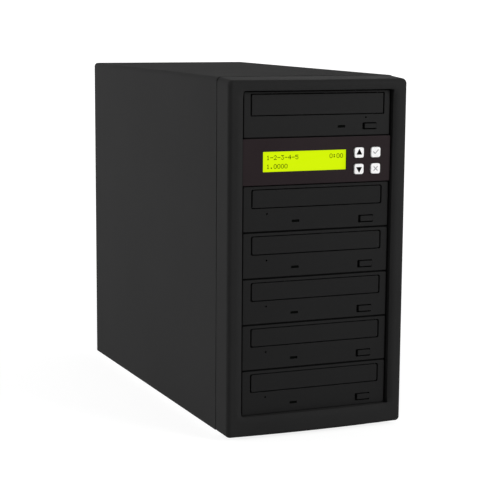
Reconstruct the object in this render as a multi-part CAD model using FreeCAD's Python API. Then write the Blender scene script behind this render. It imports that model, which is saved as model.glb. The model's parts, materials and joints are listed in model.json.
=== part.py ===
import FreeCAD, Part
import math
import os
from FreeCAD import Vector

# A tower disc duplicator: a steel case with a moulded front frame, one reader, five writers,
# a display panel with four keys, a power supply and an exhaust fan.
# Millimetres, +X right, +Y to the back, +Z up. The origin is on the floor, under the middle of the box.

# Overall sizes
case_w = 181.0
case_h = 330.5
overall_depth = 411.0
foot_h = 5.0
sheet = 1.0
bend_r = 4.0
lip_bend_r = 2.0
half_w = case_w / 2
case_bottom = foot_h
case_top = foot_h + case_h

# Depth stations, from front to back
bezel_crown = 8.0
bezel_depth = 23.8
seam_gap = 1.4
screw_head_h = 4.8
guard_wire_r = 0.9
rear_reach = 2 * guard_wire_r - sheet + screw_head_h
front_y = -overall_depth / 2
face_y = front_y + bezel_crown
seam_y = face_y + bezel_depth
case_rear_y = overall_depth / 2 - rear_reach
panel_out_y = case_rear_y - sheet
panel_in_y = panel_out_y - sheet

# Bays, counted from the bottom: five writers, the display panel and the reader
bay_pitch = 43.05
bay_count = 7
bay_floor = case_bottom + 17.15
panel_bay = 5
reader_bay = 6
writer_bays = [4, 3, 2, 1, 0]
stack_top = bay_floor + bay_count * bay_pitch

# Front frame
bezel_bottom = case_bottom - 1.5
bezel_top = case_top - 0.3
bezel_bow = 3.5
bezel_top_fall = 2.2
bezel_top_corner_r = 5.0
bezel_foot_corner_r = 4.0
bezel_outer_fillet = 4.5
bezel_inner_r = 10.0
bezel_inner_run = 6.0
bezel_top_run = 4.4
bezel_wall = 2.5
bezel_front_wall = 3.5
opening_half = 76.2
opening_bottom = bay_floor + 0.5
opening_top = stack_top + 0.3
opening_corner_r = 1.5
hook_levels = [62.0, 172.0, 282.0]
hook_w = 12.0
hook_t = 2.0
hook_barb = 1.2
hook_root = 4.0
hook_reach = 5.0
hook_barb_end = 3.4
hook_skin = 0.5
hook_slot_gap = 0.4
hook_slot_slack = 0.1

# Clearances, how far a shape runs past a face that it cuts or joins, and how near an edge is to be picked
wall_gap = 0.3
over = 1.0
near = 0.1
plate_side = half_w - sheet - wall_gap
plate_low = case_bottom + sheet
plate_high = case_top - 2 * sheet - wall_gap
plate_corner_r = 3.0
rear_side = plate_side - sheet
plate_window_inset = 0.4
flange_run = 10.0
pan_side = plate_side + 0.1
pan_flange_h = 12.0
pan_flange_gap = 2.0

# Drives
front_w = 148.2
front_h = 41.6
front_t = 6.0
front_skin = 2.6
front_rim = 2.0
front_corner_r = 1.0
front_edge_r = 0.7
shell_w = 146.0
shell_h = 41.3
shell_wall = 0.8
shell_end = 170.0
door_gap = 0.9
door_side_gap = 1.3
door_t = 4.0
door_edge_r = 0.45
mouth_rim = 1.6
mouth_corner_gap = 0.3
tray_w = 129.0
tray_end = 160.0
tray_low = 24.5
tray_high = 33.0
tray_corner_r = 8.0
tray_clearance = 0.3
tray_relief = {"side": 12.0, "front": 8.0, "rear": 26.0, "depth": 0.8}
tray_dish = {"half": 44.0, "front": 20.0, "rear": 6.0, "depth": 2.2}
disc_center = 70.0
disc_seat_r = 60.7
disc_seat_depth = 5.0
small_disc_r = 40.7
small_disc_step = 1.2
hub_slot_half = 17.0
hub_slot_end = 118.0
finger_notch_r = 11.0
finger_notch_floor = 1.0
pinhole_r = 0.9
lamp_w = 7.8
lamp_h = 2.5
lamp_level = 9.3
lamp_recess = 0.9
lamp_corner_r = 0.6
lamp_fit = 0.08
button_gap = 1.2
button_wide_gap = 2.3
button_tight_gap = 0.2
button_well_r = 0.8
button_corner_r = 0.7
button_edge_r = 0.4
button_root = 2.0
button_collar = 2.8
button_collar_gap = 0.3
button_collar_t = 1.3
button_stem_r = 1.5
button_proud = 0.4
button_travel = 1.2
loader_front = 12.0
loader_inner = 57.0
loader_outer = 67.0
loader_beam = {"front": 152.0, "low": 13.0, "top": 20.0}
drive_board = {"half": 54.0, "y": (104.0, 166.0), "rise": 1.4, "post_r": 2.0, "post_inset": 4.0}
plug_left = -50.0
plug_right = 40.0
plug_front = 161.0
plug_end = shell_end - 0.4
plug_level = 7.4
plug_top = 11.6
plug_margin = 2.0
plug_window = (3.0, 14.0)

# Disc mechanism: distances behind the face, and heights above the bay's floor
traverse = {"half": 34.0, "y": (52.0, 146.0), "level": 5.2, "t": 1.0, "ears": (54.0, 140.0), "ear_w": 6.0}
rod_lug = {"half": 3.0, "t": 5.0, "y": (57.0, 138.0), "top": 12.0}
guide_x = 24.0
guide_level = 9.0
guide_r = 1.5
guide_slack = 0.1
pickup = {"half": 28.0, "y": (92.0, 112.0), "z": (6.6, 14.0), "lens_r": 3.0, "lens_h": 2.0}
motor_r = 13.0
motor_top = 14.0
shaft_r = 1.0
shaft_bore_r = 1.05
shaft_low = 8.0
turntable = {"r": 14.0, "z": (16.0, 18.4), "cone": (7.6, 6.6, 4.6)}
clamp_r = 15.0
clamp_low = 35.5

# Front layouts: places across the front, and heights above the bay's floor
writer_layout = {
    "door": (-64.9, 66.1, 22.7, 38.9), "door_r": 1.6, "pinhole": (-50.5, 16.8),
    "lamp": -21.7, "button": (45.4, 58.5, 5.75, 10.75),
}
reader_layout = {
    "door": (-66.2, 67.2, 20.9, 39.6), "door_r": 0.8, "pinhole": (49.2, 17.2),
    "lamp": 24.0, "button": (48.1, 60.3, 7.0, 11.3),
}

# Drive cage and the screws in the side of each bay
cage_inner = 73.4
cage_end = 205.0
cage_shoe_start = 76.0
cage_rise = 3.0
cage_ear_x = 84.0
cage_shoe_x = 86.0
cage_window = {"y": (62.0, 113.0), "z": (18.0, 34.0)}
cage_bridge = (50.0, 190.0)
screw_r = 1.45
screw_hole_r = 1.7
thread_hole_r = 1.55
screw_head_r = 2.9
screw_head_t = 1.8
screw_slot = (0.5, 1.6)
screw_reach = 3.4
shank_lap = 0.5
screw_stations = [48.0, 127.2]
screw_level = 10.8

# Display panel
plate_w = 150.4
plate_h = 42.7
plate_front = -0.8
plate_t = 2.0
plate_back = plate_front + plate_t
faceplate_corner_r = 1.2
faceplate_edge_r = 0.5
bracket_end = 150.0
lcd_center_x = -12.8
lcd_level = 21.5
lcd_half_w = 42.4
lcd_half_h = 9.3
lcd_frame_w = 6.0
lcd_frame_h = 5.0
lcd_frame_t = 0.45
lcd_frame_gap = 0.2
lcd_corner_r = 0.4
lcd_window_gap = 0.5
lcd_bracket_gap = 0.6
lcd_glass_margin = (4.0, 2.6)
lcd_glass_y = 0.7
lcd_glass_t = 3.0
lcd_board = {"left": 53.0, "right": 47.0, "half_h": 18.0, "y": 7.9}
lcd_post_r = 1.4
lcd_posts = (44.0, 16.5)
board_t = 1.6
key_size = 9.6
key_r = 2.0
key_gap = 0.25
key_edge_r = 0.5
key_collar = 1.0
key_collar_gap = 0.2
key_collar_t = 1.0
key_stem_r = 1.6
key_window_gap = 0.4
key_proud = 1.6
key_travel = 0.8
key_columns = {"left": 41.9, "right": 59.2}
key_rows = {"top": 27.6, "bottom": 12.3}
keypad_y = 8.6
keypad_x = (36.6, 67.4)
keypad_levels = (3.5, 38.3)
keypad_post_r = 1.0
keypad_post_inset = 1.4
switch_h = 3.4
switch_foot = 3.0
switch_gap = 0.1

# Circuit boards on posts: distances behind the face or the power supply's front
controller_end = 140.0
controller = {"half": 62.0, "y": (30.0, controller_end), "rise": 6.0, "post_r": 2.5, "post_inset": 6.0}
processor = {"half": 16.0, "y": (60.0, 92.0), "h": 2.4}
memory = {"x": (24.0, 38.0), "w": 10.0, "y": (66.0, 84.0), "h": 1.2}
data_socket = {"half": 3.4, "depth": 14.0, "h": 6.4}
power_socket = {"half": 6.0, "depth": 12.0, "h": 7.0}
supply = {"half": 66.0, "y": (6.0, 108.0), "rise": 5.0, "post_r": 2.5, "post_inset": 6.0}
transformer = {"x": (-14.0, 24.0), "y": (42.0, 74.0), "h": 34.0}
heat_sink = {"x": (-30.0, 40.0), "w": 4.0, "y": (24.0, 92.0), "h": 50.0}
capacitor = {"r": 11.0, "x": -50.0, "y": (34.0, 60.0), "h": 36.0}

# Power supply and fans
psu_half_w = 75.0
psu_h = 86.0
psu_depth = 140.0
psu_wall = 1.0
psu_bottom = case_bottom + sheet
psu_front_y = panel_in_y - psu_depth
inlet_at = (-44.0, psu_bottom + 30.0)
switch_at = (-44.0, psu_bottom + 62.0)
inlet_half = (13.5, 10.0)
switch_half = (6.7, 9.7)
snap_gap = 0.1
inlet = {
    "flange": (15.5, 12.0, 2.0), "corner_r": 2.0, "depth": 20.0,
    "mouth": (12.2, 8.4, 17.0), "corner_cut": 4.0, "blade": (1.0, 2.0), "blade_y": (-18.0, -2.5),
    "blades": ((0.0, 2.2), (-7.0, -1.8), (7.0, -1.8)),
}
switch = {
    "flange": (8.5, 11.5, 1.6), "corner_r": 1.0, "depth": 16.0, "well": (5.1, 8.4, 12.0),
    "bearing": (1.05, 6.2),
}
rocker_tilt = 9.0
rocker_depth = 3.0
rocker_half = 4.8
rocker_pin = (1.0, 6.0)
rocker_edge_r = 0.6
psu_slots = {"count": 8, "left": -62.0, "pitch": 10.0, "w": 5.0, "z": (40.0, 76.0)}
psu_window_half = 66.0
psu_window_inset = 2.8
psu_window_corner_r = 2.0
fan_t = 25.0
fan_corner_r = 5.0
fan_flange_t = 4.0
fan_wall = 1.6
fan_hub_rim = 2.0
fan_strut = (1.8, 3.0)
fan_post_r = 2.0
fan_post_gap = 6.5
fan_hole_r = 2.2
fan_thread_r = 2.15
rotor = {"y": (-7.5, 8.5), "edge_r": 1.5, "bore_r": 2.06, "bore_end": 5.5, "tip_gap": 1.5}
blade = {"root": (0.85, 48.0, 2.0), "tip": (0.62, 28.0, 1.6), "camber": 0.10}
guard_eye_r = 2.9
guard_ring_rise = 1.5
guard_inner = 0.6
psu_fan = {
    "size": 80.0, "bore": 38.0, "hub": 16.0, "pitch": 35.75, "blades": 7, "rings": 5,
    "at": (24.0, psu_bottom + 43.0), "back_y": panel_in_y - psu_wall, "guard_y": panel_in_y,
}
exhaust_fan = {
    "size": 120.0, "bore": 58.0, "hub": 20.0, "pitch": 52.5, "blades": 7, "rings": 6,
    "at": (0.0, 190.0), "back_y": panel_in_y, "guard_y": panel_out_y,
}

# Case fasteners, vents and feet
cover_lip = 11.0
cover_screw_levels = [42.0, 172.0, 302.0]
cover_screw_x = half_w - 5.6
psu_screw_x = 69.4
psu_screw_levels = [psu_bottom + 7.0, psu_bottom + 79.0]
case_hole_r = 1.75
cover_hole_r = 2.2
hex_across = 6.4
hex_flange_t = 1.4
hex_flange_rim = 1.0
hex_sink = 0.2
cross_slot = (0.5, 2.2, 1.4)
case_screw_r = 1.65
fan_screw_r = 1.9
cover_screw_l = 7.0
psu_screw_l = 5.0
fan_screw_l = 12.0
vent_rows = 6
vent_columns = 4
vent_pitch = (34.0, 9.0)
vent_half = (14.0, 2.0)
vent_corner_r = 1.9
vent_low = 268.0
floor_slots = 7
floor_slot_pitch = 12.0
floor_slot_w = 4.0
floor_slot_half = 45.0
floor_slot_start = 74.0
foot_r = 10.0
foot_taper = 1.2
foot_edge_r = 0.8
foot_stem_r = 2.4
foot_hole_r = 2.5
foot_x = 68.0
foot_stations = [seam_y + 32.0, case_rear_y - 40.0]

# Wiring
data_lead_r = 2.2
power_lead_r = 3.0
power_lead_x = 30.0
power_riser = 215.0
power_lead_gap = 1.0
socket_level = 11.8
data_lead_left = -45.0
data_lead_pitch = 8.0
data_lead_xs = [data_lead_left + data_lead_pitch * i for i in range(len(writer_bays) + 1)]
data_lead_back = 190.0
data_lead_step = 4.0
tube_tolerance = 0.01


def bay_z(bay):
    return bay_floor + bay * bay_pitch


def shell_z(bay):
    return bay_z(bay) + (bay_pitch - shell_h) / 2


def plug_z(bay):
    return shell_z(bay) + shell_wall + plug_level


# Shared shapes

def block(x0, x1, y0, y1, z0, z1):
    return Part.makeBox(x1 - x0, y1 - y0, z1 - z0, Vector(x0, y0, z0))


def rod(radius, start, end):
    a, b = Vector(*start), Vector(*end)
    return Part.makeCylinder(radius, (b - a).Length, a, b - a)


def rod_y(radius, x, z, y0, y1):
    return rod(radius, (x, y0, z), (x, y1, z))


def join(*shapes):
    return shapes[0].fuse(list(shapes[1:])).removeSplitter()


def only_solid(shape):
    return max(shape.Solids, key=lambda solid: solid.Volume)


def mirrored(shape):
    return shape.mirror(Vector(0, 0, 0), Vector(1, 0, 0))


def edges_along(shape, axis):
    found = []
    for edge in shape.Edges:
        if isinstance(edge.Curve, Part.Line) and abs(edge.tangentAt(edge.FirstParameter).dot(axis)) > 0.999:
            found.append(edge)
    return found


def edges_at_y(shape, y):
    return [e for e in shape.Edges if abs(e.BoundBox.YMin - y) < 1e-4 and abs(e.BoundBox.YMax - y) < 1e-4]


def rounded_block(x0, x1, y0, y1, z0, z1, corner, front_r=0.0):
    # A plate across Y with rounded corners and, if asked, softened front edges
    made = block(x0, x1, y0, y1, z0, z1)
    made = made.makeFillet(corner, edges_along(made, Vector(0, 1, 0)))
    if front_r:
        made = made.makeFillet(front_r, edges_at_y(made, y0))
    return made


def save(name, *solids):
    shape = solids[0] if len(solids) == 1 else Part.makeCompound(list(solids))
    for solid in shape.Solids:
        if not solid.isValid():
            print("not valid:", name)
    shape.exportStep(os.path.join("parts", name + ".step"))
    print(name, len(shape.Solids), "solids")


# Front frame

def bow_solid(inset):
    # Everything behind the bowed front surface, moved back by inset
    radius = (half_w ** 2 + bezel_bow ** 2) / (2 * bezel_bow)
    return Part.makeCylinder(radius - inset, case_top, Vector(0, front_y + radius, 0))


def bowed_face_edges(shape):
    faces = [f for f in shape.Faces if isinstance(f.Surface, Part.Cylinder) and f.Surface.Radius > case_h]
    return max(faces, key=lambda f: f.Area).Edges


def bezel_hook(level):
    # A snap hook behind the side rail, with its barb behind the front plate
    outer = half_w - bezel_wall
    inner = outer - hook_t
    z0, z1 = level - hook_w / 2, level + hook_w / 2
    tab = block(inner, outer, seam_y - hook_root, seam_y + hook_reach, z0, z1)
    barb = block(inner - hook_barb, inner, seam_y + sheet + wall_gap, seam_y + hook_barb_end, z0, z1)
    root = block(inner, half_w - hook_skin, seam_y - hook_root, seam_y, z0, z1)
    return join(tab, barb, root)


def bezel_opening(inset, top_inset):
    return rounded_block(-opening_half + inset, opening_half - inset, front_y - over, seam_y + over,
                         opening_bottom + inset, opening_top - top_inset, opening_corner_r)


def front_bezel():
    # The top falls a little towards the front
    low_front = Vector(-half_w, front_y, bezel_bottom)
    low_back = Vector(-half_w, seam_y, bezel_bottom)
    top_front = Vector(-half_w, front_y, bezel_top - bezel_top_fall)
    top_back = Vector(-half_w, seam_y, bezel_top)
    side = Part.Face(Part.makePolygon([low_front, low_back, top_back, top_front, low_front]))
    body = side.extrude(Vector(case_w, 0, 0))
    slope = (top_back - top_front).normalize()
    upper = [e for e in edges_along(body, slope) if e.CenterOfMass.z > top_front.z - near]
    body = body.makeFillet(bezel_top_corner_r, upper)
    lower = [e for e in edges_along(body, Vector(0, 1, 0)) if e.CenterOfMass.z < bezel_bottom + near]
    body = body.makeFillet(bezel_foot_corner_r, lower)
    body = only_solid(body.common(bow_solid(0)))
    body = body.makeFillet(bezel_outer_fillet, bowed_face_edges(body))
    # The rails roll towards the opening on a large arc that the opening cuts off short of its end
    start = bezel_opening(bezel_inner_r - bezel_inner_run, bezel_inner_r - bezel_top_run)
    body = only_solid(body.cut(start))
    inner = [e for e in bowed_face_edges(body) if abs(e.CenterOfMass.x) < opening_half + near
             and opening_bottom - near < e.CenterOfMass.z < opening_top + near]
    body = body.makeFillet(bezel_inner_r, inner)
    body = only_solid(body.cut(bezel_opening(0, 0)))
    hollow = block(-half_w + bezel_wall, half_w - bezel_wall, front_y, seam_y + over,
                   bezel_bottom + bezel_wall, top_front.z - bezel_wall)
    keep = block(-opening_half - bezel_wall, opening_half + bezel_wall, front_y, seam_y + over,
                 opening_bottom - bezel_wall, opening_top + bezel_wall)
    hollow = hollow.cut(keep).common(bow_solid(bezel_front_wall))
    body = only_solid(body.cut(hollow))
    hooks = [bezel_hook(level) for level in hook_levels]
    hooks += [mirrored(hook) for hook in hooks]
    return only_solid(join(body, *hooks))


# Steel case

def base_pan():
    floor = block(-pan_side, pan_side, seam_y, panel_in_y + sheet / 2, case_bottom, plate_low)
    run = flange_run + pan_flange_gap
    flange = block(pan_side - sheet, pan_side, seam_y + sheet + run, panel_in_y - run,
                   case_bottom, plate_low + pan_flange_h)
    pan = join(floor, flange, mirrored(flange))
    cuts = []
    for x in (-foot_x, foot_x):
        cuts += [rod(foot_hole_r, (x, y, 0), (x, y, 2 * foot_h)) for y in foot_stations]
    for i in range(floor_slots):
        y = face_y + floor_slot_start + i * floor_slot_pitch
        cuts.append(block(-floor_slot_half, floor_slot_half, y, y + floor_slot_w, 0, 2 * foot_h))
    return only_solid(pan.cut(cuts))


def upright_sheet(side, y0, y1, flange_y0, flange_y1):
    # An upright steel sheet across the case with a folded flange on each side
    plate = block(-side, side, y0, y1, plate_low, plate_high)
    upper = [e for e in edges_along(plate, Vector(0, 1, 0)) if e.BoundBox.ZMin > case_bottom + 2 * sheet]
    plate = plate.makeFillet(plate_corner_r, upper)
    flange = block(side - sheet, side, flange_y0, flange_y1, plate_low, plate_high - 2 * plate_corner_r)
    return join(plate, flange, mirrored(flange))


def front_plate():
    plate = upright_sheet(plate_side, seam_y, seam_y + sheet, seam_y, seam_y + sheet + flange_run)
    window_half = opening_half - plate_window_inset
    y0, y1 = seam_y - over, seam_y + sheet + over
    cuts = [block(-window_half, window_half, y0, y1, opening_bottom, opening_top)]
    outer = half_w - bezel_wall
    inner = outer - hook_t - hook_barb - hook_slot_gap
    reach = hook_w / 2 + hook_slot_gap
    for level in hook_levels:
        slot = block(inner, outer + hook_slot_slack, y0, y1, level - reach, level + reach)
        cuts += [slot, mirrored(slot)]
    return only_solid(plate.cut(cuts))


def fan_corners(fan):
    x, z = fan["at"]
    return [(x + sx * fan["pitch"], z + sz * fan["pitch"]) for sx in (-1, 1) for sz in (-1, 1)]


def psu_screw_places():
    return [(x, z) for x in (-psu_screw_x, psu_screw_x) for z in psu_screw_levels]


def cover_screw_places():
    return [(x, z) for x in (-cover_screw_x, cover_screw_x) for z in cover_screw_levels]


def rear_panel():
    panel = upright_sheet(rear_side, panel_in_y, panel_out_y, panel_in_y - flange_run, panel_out_y)
    y0, y1 = panel_in_y - over, panel_out_y + over
    cuts = [rounded_block(-psu_window_half, psu_window_half, y0, y1, psu_bottom + psu_window_inset,
                          psu_bottom + psu_h - psu_window_inset, psu_window_corner_r)]
    cuts.append(rod_y(exhaust_fan["bore"], *exhaust_fan["at"], y0, y1))
    cuts += [rod_y(fan_hole_r, x, z, y0, y1) for x, z in fan_corners(exhaust_fan)]
    cuts += [rod_y(case_hole_r, x, z, y0, y1) for x, z in psu_screw_places() + cover_screw_places()]
    for row in range(vent_rows):
        for column in range(vent_columns):
            x = vent_pitch[0] * (column - (vent_columns - 1) / 2)
            z = vent_low + vent_pitch[1] * row
            cuts.append(rounded_block(x - vent_half[0], x + vent_half[0], y0, y1,
                                      z - vent_half[1], z + vent_half[1], vent_corner_r))
    return only_solid(panel.cut(cuts))


def cover_arch(inset, low, y0, y1):
    # A solid arch, as wide as the case less inset, with bent top edges and bent rear edges
    made = block(-half_w + inset, half_w - inset, y0, y1, low, case_top - inset)
    upper = [e for e in edges_along(made, Vector(0, 1, 0)) if e.BoundBox.ZMin > case_bottom + near]
    made = made.makeFillet(bend_r - inset, upper)
    rear = [e for e in edges_at_y(made, y1) if e.BoundBox.ZMax > low + near]
    return made.makeFillet(lip_bend_r - inset, rear)


def case_cover():
    y0, y1 = seam_y + seam_gap, case_rear_y
    outer = cover_arch(0, case_bottom, y0, y1)
    inner = cover_arch(sheet, case_bottom - over, y0 - over, y1 - sheet)
    window = block(-half_w + cover_lip, half_w - cover_lip, y0, y1 + over,
                   case_bottom - over, case_top - cover_lip)
    holes = [rod_y(cover_hole_r, x, z, y1 - sheet - over, y1 + over) for x, z in cover_screw_places()]
    return only_solid(outer.cut([inner, window] + holes))


def drive_cage():
    # Two punched side walls with folded ears and shoes, and a bridge across their tops
    high = stack_top + cage_rise
    rear = face_y + cage_end
    wall = block(cage_inner, cage_inner + sheet, seam_y + 2 * sheet, rear, plate_low, high)
    ear = block(cage_inner, cage_ear_x, seam_y + sheet, seam_y + 2 * sheet, opening_bottom, stack_top)
    shoe = block(cage_inner, cage_shoe_x, face_y + cage_shoe_start, rear, plate_low, plate_low + sheet)
    side = join(wall, ear, shoe)
    x0, x1 = cage_inner - over, cage_inner + sheet + over
    (front, back), (low, top) = cage_window["y"], cage_window["z"]
    cuts = []
    for bay in range(bay_count):
        z = bay_z(bay)
        for station in screw_stations:
            y = face_y + station
            cuts.append(rod(screw_hole_r, (x0, y, z + screw_level), (x1, y, z + screw_level)))
        cuts.append(block(x0, x1, face_y + front, face_y + back, z + low, z + top))
    side = only_solid(side.cut(cuts))
    outer, (front, back) = cage_inner + sheet, cage_bridge
    bridge = block(-outer, outer, face_y + front, face_y + back, high, high + sheet)
    return [side, mirrored(side), bridge]


def rubber_feet():
    feet = []
    for x in (-foot_x, foot_x):
        for y in foot_stations:
            pad = Part.makeCone(foot_r - foot_taper, foot_r, foot_h, Vector(x, y, 0))
            pad = pad.makeFillet(foot_edge_r, [e for e in pad.Edges if e.BoundBox.ZMax < near and e.Closed])
            stem = rod(foot_stem_r, (x, y, foot_h - over), (x, y, foot_h + sheet - snap_gap))
            feet.append(join(pad, stem))
    return feet


def hex_screw(x, z, seat_y, length, radius):
    # A flanged hexagon screw with a cross slot, whose head stands behind seat_y
    corner = hex_across / math.cos(math.pi / 6) / 2
    points = []
    for i in range(7):
        turn = math.radians(60 * i)
        across, up = corner * math.cos(turn), corner * math.sin(turn)
        points.append(Vector(x + across, seat_y + hex_flange_t - hex_sink, z + up))
    rise = screw_head_h - hex_flange_t + hex_sink
    hexagon = Part.Face(Part.makePolygon(points)).extrude(Vector(0, rise, 0))
    flange = rod_y(hex_across / 2 + hex_flange_rim, x, z, seat_y, seat_y + hex_flange_t)
    shank = rod_y(radius, x, z, seat_y - length, seat_y + shank_lap)
    top = seat_y + screw_head_h
    narrow, long, deep = cross_slot
    slots = [block(x - narrow, x + narrow, top - deep, top + over, z - long, z + long),
             block(x - long, x + long, top - deep, top + over, z - narrow, z + narrow)]
    return only_solid(join(hexagon, flange, shank).cut(slots))


def case_screws():
    screws = [hex_screw(x, z, case_rear_y, cover_screw_l, case_screw_r) for x, z in cover_screw_places()]
    screws += [hex_screw(x, z, panel_out_y, psu_screw_l, case_screw_r) for x, z in psu_screw_places()]
    for fan in (exhaust_fan, psu_fan):
        seat = fan["guard_y"] + 2 * guard_wire_r
        screws += [hex_screw(x, z, seat, fan_screw_l, fan_screw_r) for x, z in fan_corners(fan)]
    return screws


def drive_screws():
    screws = []
    seat = cage_inner + sheet
    top = seat + screw_head_t
    narrow, long = screw_slot
    for bay in range(bay_count):
        for station in screw_stations:
            y, z = face_y + station, bay_z(bay) + screw_level
            head = rod(screw_head_r, (seat, y, z), (top, y, z))
            shank = rod(screw_r, (cage_inner - screw_reach, y, z), (seat + shank_lap, y, z))
            slot = block(top - screw_head_t / 2, top + over, y - narrow, y + narrow, z - long, z + long)
            screw = only_solid(join(head, shank).cut(slot))
            screws += [screw, mirrored(screw)]
    return screws


# Drives

def drive_front(bay, layout):
    z0 = bay_z(bay)
    low = z0 + (bay_pitch - front_h) / 2
    half = front_w / 2
    back = face_y + front_t
    body = rounded_block(-half, half, face_y, back, low, low + front_h, front_corner_r, front_edge_r)
    pocket = block(-half + front_rim, half - front_rim, face_y + front_skin, back + over,
                   low + front_rim, low + front_h - front_rim)
    x0, x1, za, zb = layout["door"]
    reach, side_reach = door_gap + mouth_rim, door_side_gap + mouth_rim
    frame = block(x0 - side_reach, x1 + side_reach, face_y + front_skin - over, back,
                  max(z0 + za - reach, low), min(z0 + zb + reach, low + front_h))
    body = join(body.cut(pocket), frame)
    y0, y1 = face_y - over, back + over
    mouth = rounded_block(x0 - door_side_gap, x1 + door_side_gap, y0, y1,
                          z0 + za - door_gap, z0 + zb + door_gap, layout["door_r"] + mouth_corner_gap)
    bx0, bx1, bza, bzb = layout["button"]
    well = rounded_block(bx0 - button_wide_gap, bx1 + button_tight_gap, y0, y1,
                         z0 + bza - button_gap, z0 + bzb + button_gap, button_well_r)
    lamp = lamp_shape(bay, layout, y0, y1, 0.0)
    hole_x, hole_z = layout["pinhole"]
    hole = rod_y(pinhole_r, hole_x, z0 + hole_z, y0, y1)
    return only_solid(body.cut([mouth, well, lamp, hole]))


def lamp_shape(bay, layout, y0, y1, clearance):
    x, z = layout["lamp"], bay_z(bay) + lamp_level
    half_x, half_z = lamp_w / 2 - clearance, lamp_h / 2 - clearance
    return rounded_block(x - half_x, x + half_x, y0, y1, z - half_z, z + half_z, lamp_corner_r)


def lamp_window(bay, layout):
    return lamp_shape(bay, layout, face_y + lamp_recess, face_y + front_t, lamp_fit)


def tray_door(bay, layout):
    z0 = bay_z(bay)
    x0, x1, za, zb = layout["door"]
    return rounded_block(x0, x1, face_y, face_y + door_t, z0 + za, z0 + zb, layout["door_r"], door_edge_r)


def disc_tray(bay):
    z0 = bay_z(bay)
    low, high = z0 + tray_low, z0 + tray_high
    y0, y1 = face_y + door_t, face_y + tray_end
    half = tray_w / 2
    body = block(-half, half, y0, y1, low, high)
    rear = [e for e in edges_along(body, Vector(0, 0, 1)) if e.BoundBox.YMin > y1 - near]
    body = body.makeFillet(tray_corner_r, rear)
    yc = face_y + disc_center
    seat = high - disc_seat_depth
    under, above = low - over, high + over
    cuts = [rod(disc_seat_r, (0, yc, seat), (0, yc, above))]
    cuts.append(rod(small_disc_r, (0, yc, seat - small_disc_step), (0, yc, above)))
    cuts.append(rod(hub_slot_half, (0, yc, under), (0, yc, above)))
    cuts.append(block(-hub_slot_half, hub_slot_half, yc, face_y + hub_slot_end, under, above))
    edge = half - tray_relief["side"]
    cuts.append(block(-edge, edge, y0 + tray_relief["front"], y1 - tray_relief["rear"],
                      under, low + tray_relief["depth"]))
    cuts.append(block(-tray_dish["half"], tray_dish["half"], y1 - tray_dish["front"], y1 - tray_dish["rear"],
                      high - tray_dish["depth"], above))
    for side in (-half, half):
        cuts.append(rod(finger_notch_r, (side, yc, seat + finger_notch_floor), (side, yc, above)))
    return only_solid(body.cut(cuts))


def eject_button(bay, layout):
    z0 = bay_z(bay)
    x0, x1, za, zb = layout["button"]
    back = face_y + front_t
    cap = rounded_block(x0, x1, face_y - button_proud, back + button_root, z0 + za, z0 + zb,
                        button_corner_r, button_edge_r)
    seat = back + button_collar_gap
    collar = block(x0 - button_collar, x1 + button_collar, seat, seat + button_collar_t,
                   z0 + za - button_collar, z0 + zb + button_collar)
    tip = face_y + loader_front - button_travel - wall_gap
    stem = rod_y(button_stem_r, (x0 + x1) / 2, z0 + (za + zb) / 2, back + over, tip)
    return join(cap, collar, stem)


def side_screw_holes(bay):
    z = bay_z(bay) + screw_level
    ys = [face_y + station for station in screw_stations]
    return [rod(thread_hole_r, (-shell_w, y, z), (shell_w, y, z)) for y in ys]


def drive_shell(bay):
    low, high = shell_z(bay), shell_z(bay) + shell_h
    half = shell_w / 2
    y0, y1 = face_y + front_t, face_y + shell_end
    outer = block(-half, half, y0, y1, low, high)
    inner = block(-half + shell_wall, half - shell_wall, y0 - over, y1 - shell_wall,
                  low + shell_wall, high - shell_wall)
    bottom, top = plug_window
    socket = block(plug_left - plug_margin, plug_right + plug_margin, y1 - shell_wall - over, y1 + over,
                   low + bottom, low + top)
    return only_solid(outer.cut([inner, socket] + side_screw_holes(bay)))


def traverse_plate(bay):
    # The plate that carries the spindle motor and the pickup's two rods, on ears between the loader rails
    z0, axis_y = bay_z(bay), face_y + disc_center
    low = z0 + traverse["level"]
    top = low + traverse["t"]
    y0, y1 = [face_y + y for y in traverse["y"]]
    pieces = [block(-traverse["half"], traverse["half"], y0, y1, low, top)]
    for y in [face_y + ear for ear in traverse["ears"]]:
        pieces.append(block(-loader_inner, loader_inner, y, y + traverse["ear_w"], low, top))
    for y in [face_y + lug for lug in rod_lug["y"]]:
        lug = block(guide_x - rod_lug["half"], guide_x + rod_lug["half"], y, y + rod_lug["t"],
                    top, z0 + rod_lug["top"])
        pieces += [lug, mirrored(lug)]
    pieces.append(rod(motor_r, (0, axis_y, low), (0, axis_y, z0 + motor_top)))
    cuts = [rod(shaft_bore_r, (0, axis_y, z0 + shaft_low - over), (0, axis_y, z0 + motor_top + over))]
    cuts += [rod_y(guide_r, x, z0 + guide_level, y0, y1) for x in (-guide_x, guide_x)]
    return only_solid(join(*pieces).cut(cuts))


def optical_pickup(bay):
    z0 = bay_z(bay)
    y0, y1 = [face_y + y for y in pickup["y"]]
    low, top = [z0 + z for z in pickup["z"]]
    middle = (y0 + y1) / 2
    carriage = block(-pickup["half"], pickup["half"], y0, y1, low, top)
    lens = rod(pickup["lens_r"], (0, middle, top - over), (0, middle, top + pickup["lens_h"]))
    hole_r = guide_r + guide_slack
    holes = [rod_y(hole_r, x, z0 + guide_level, y0 - over, y1 + over) for x in (-guide_x, guide_x)]
    return only_solid(join(carriage, lens).cut(holes))


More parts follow.
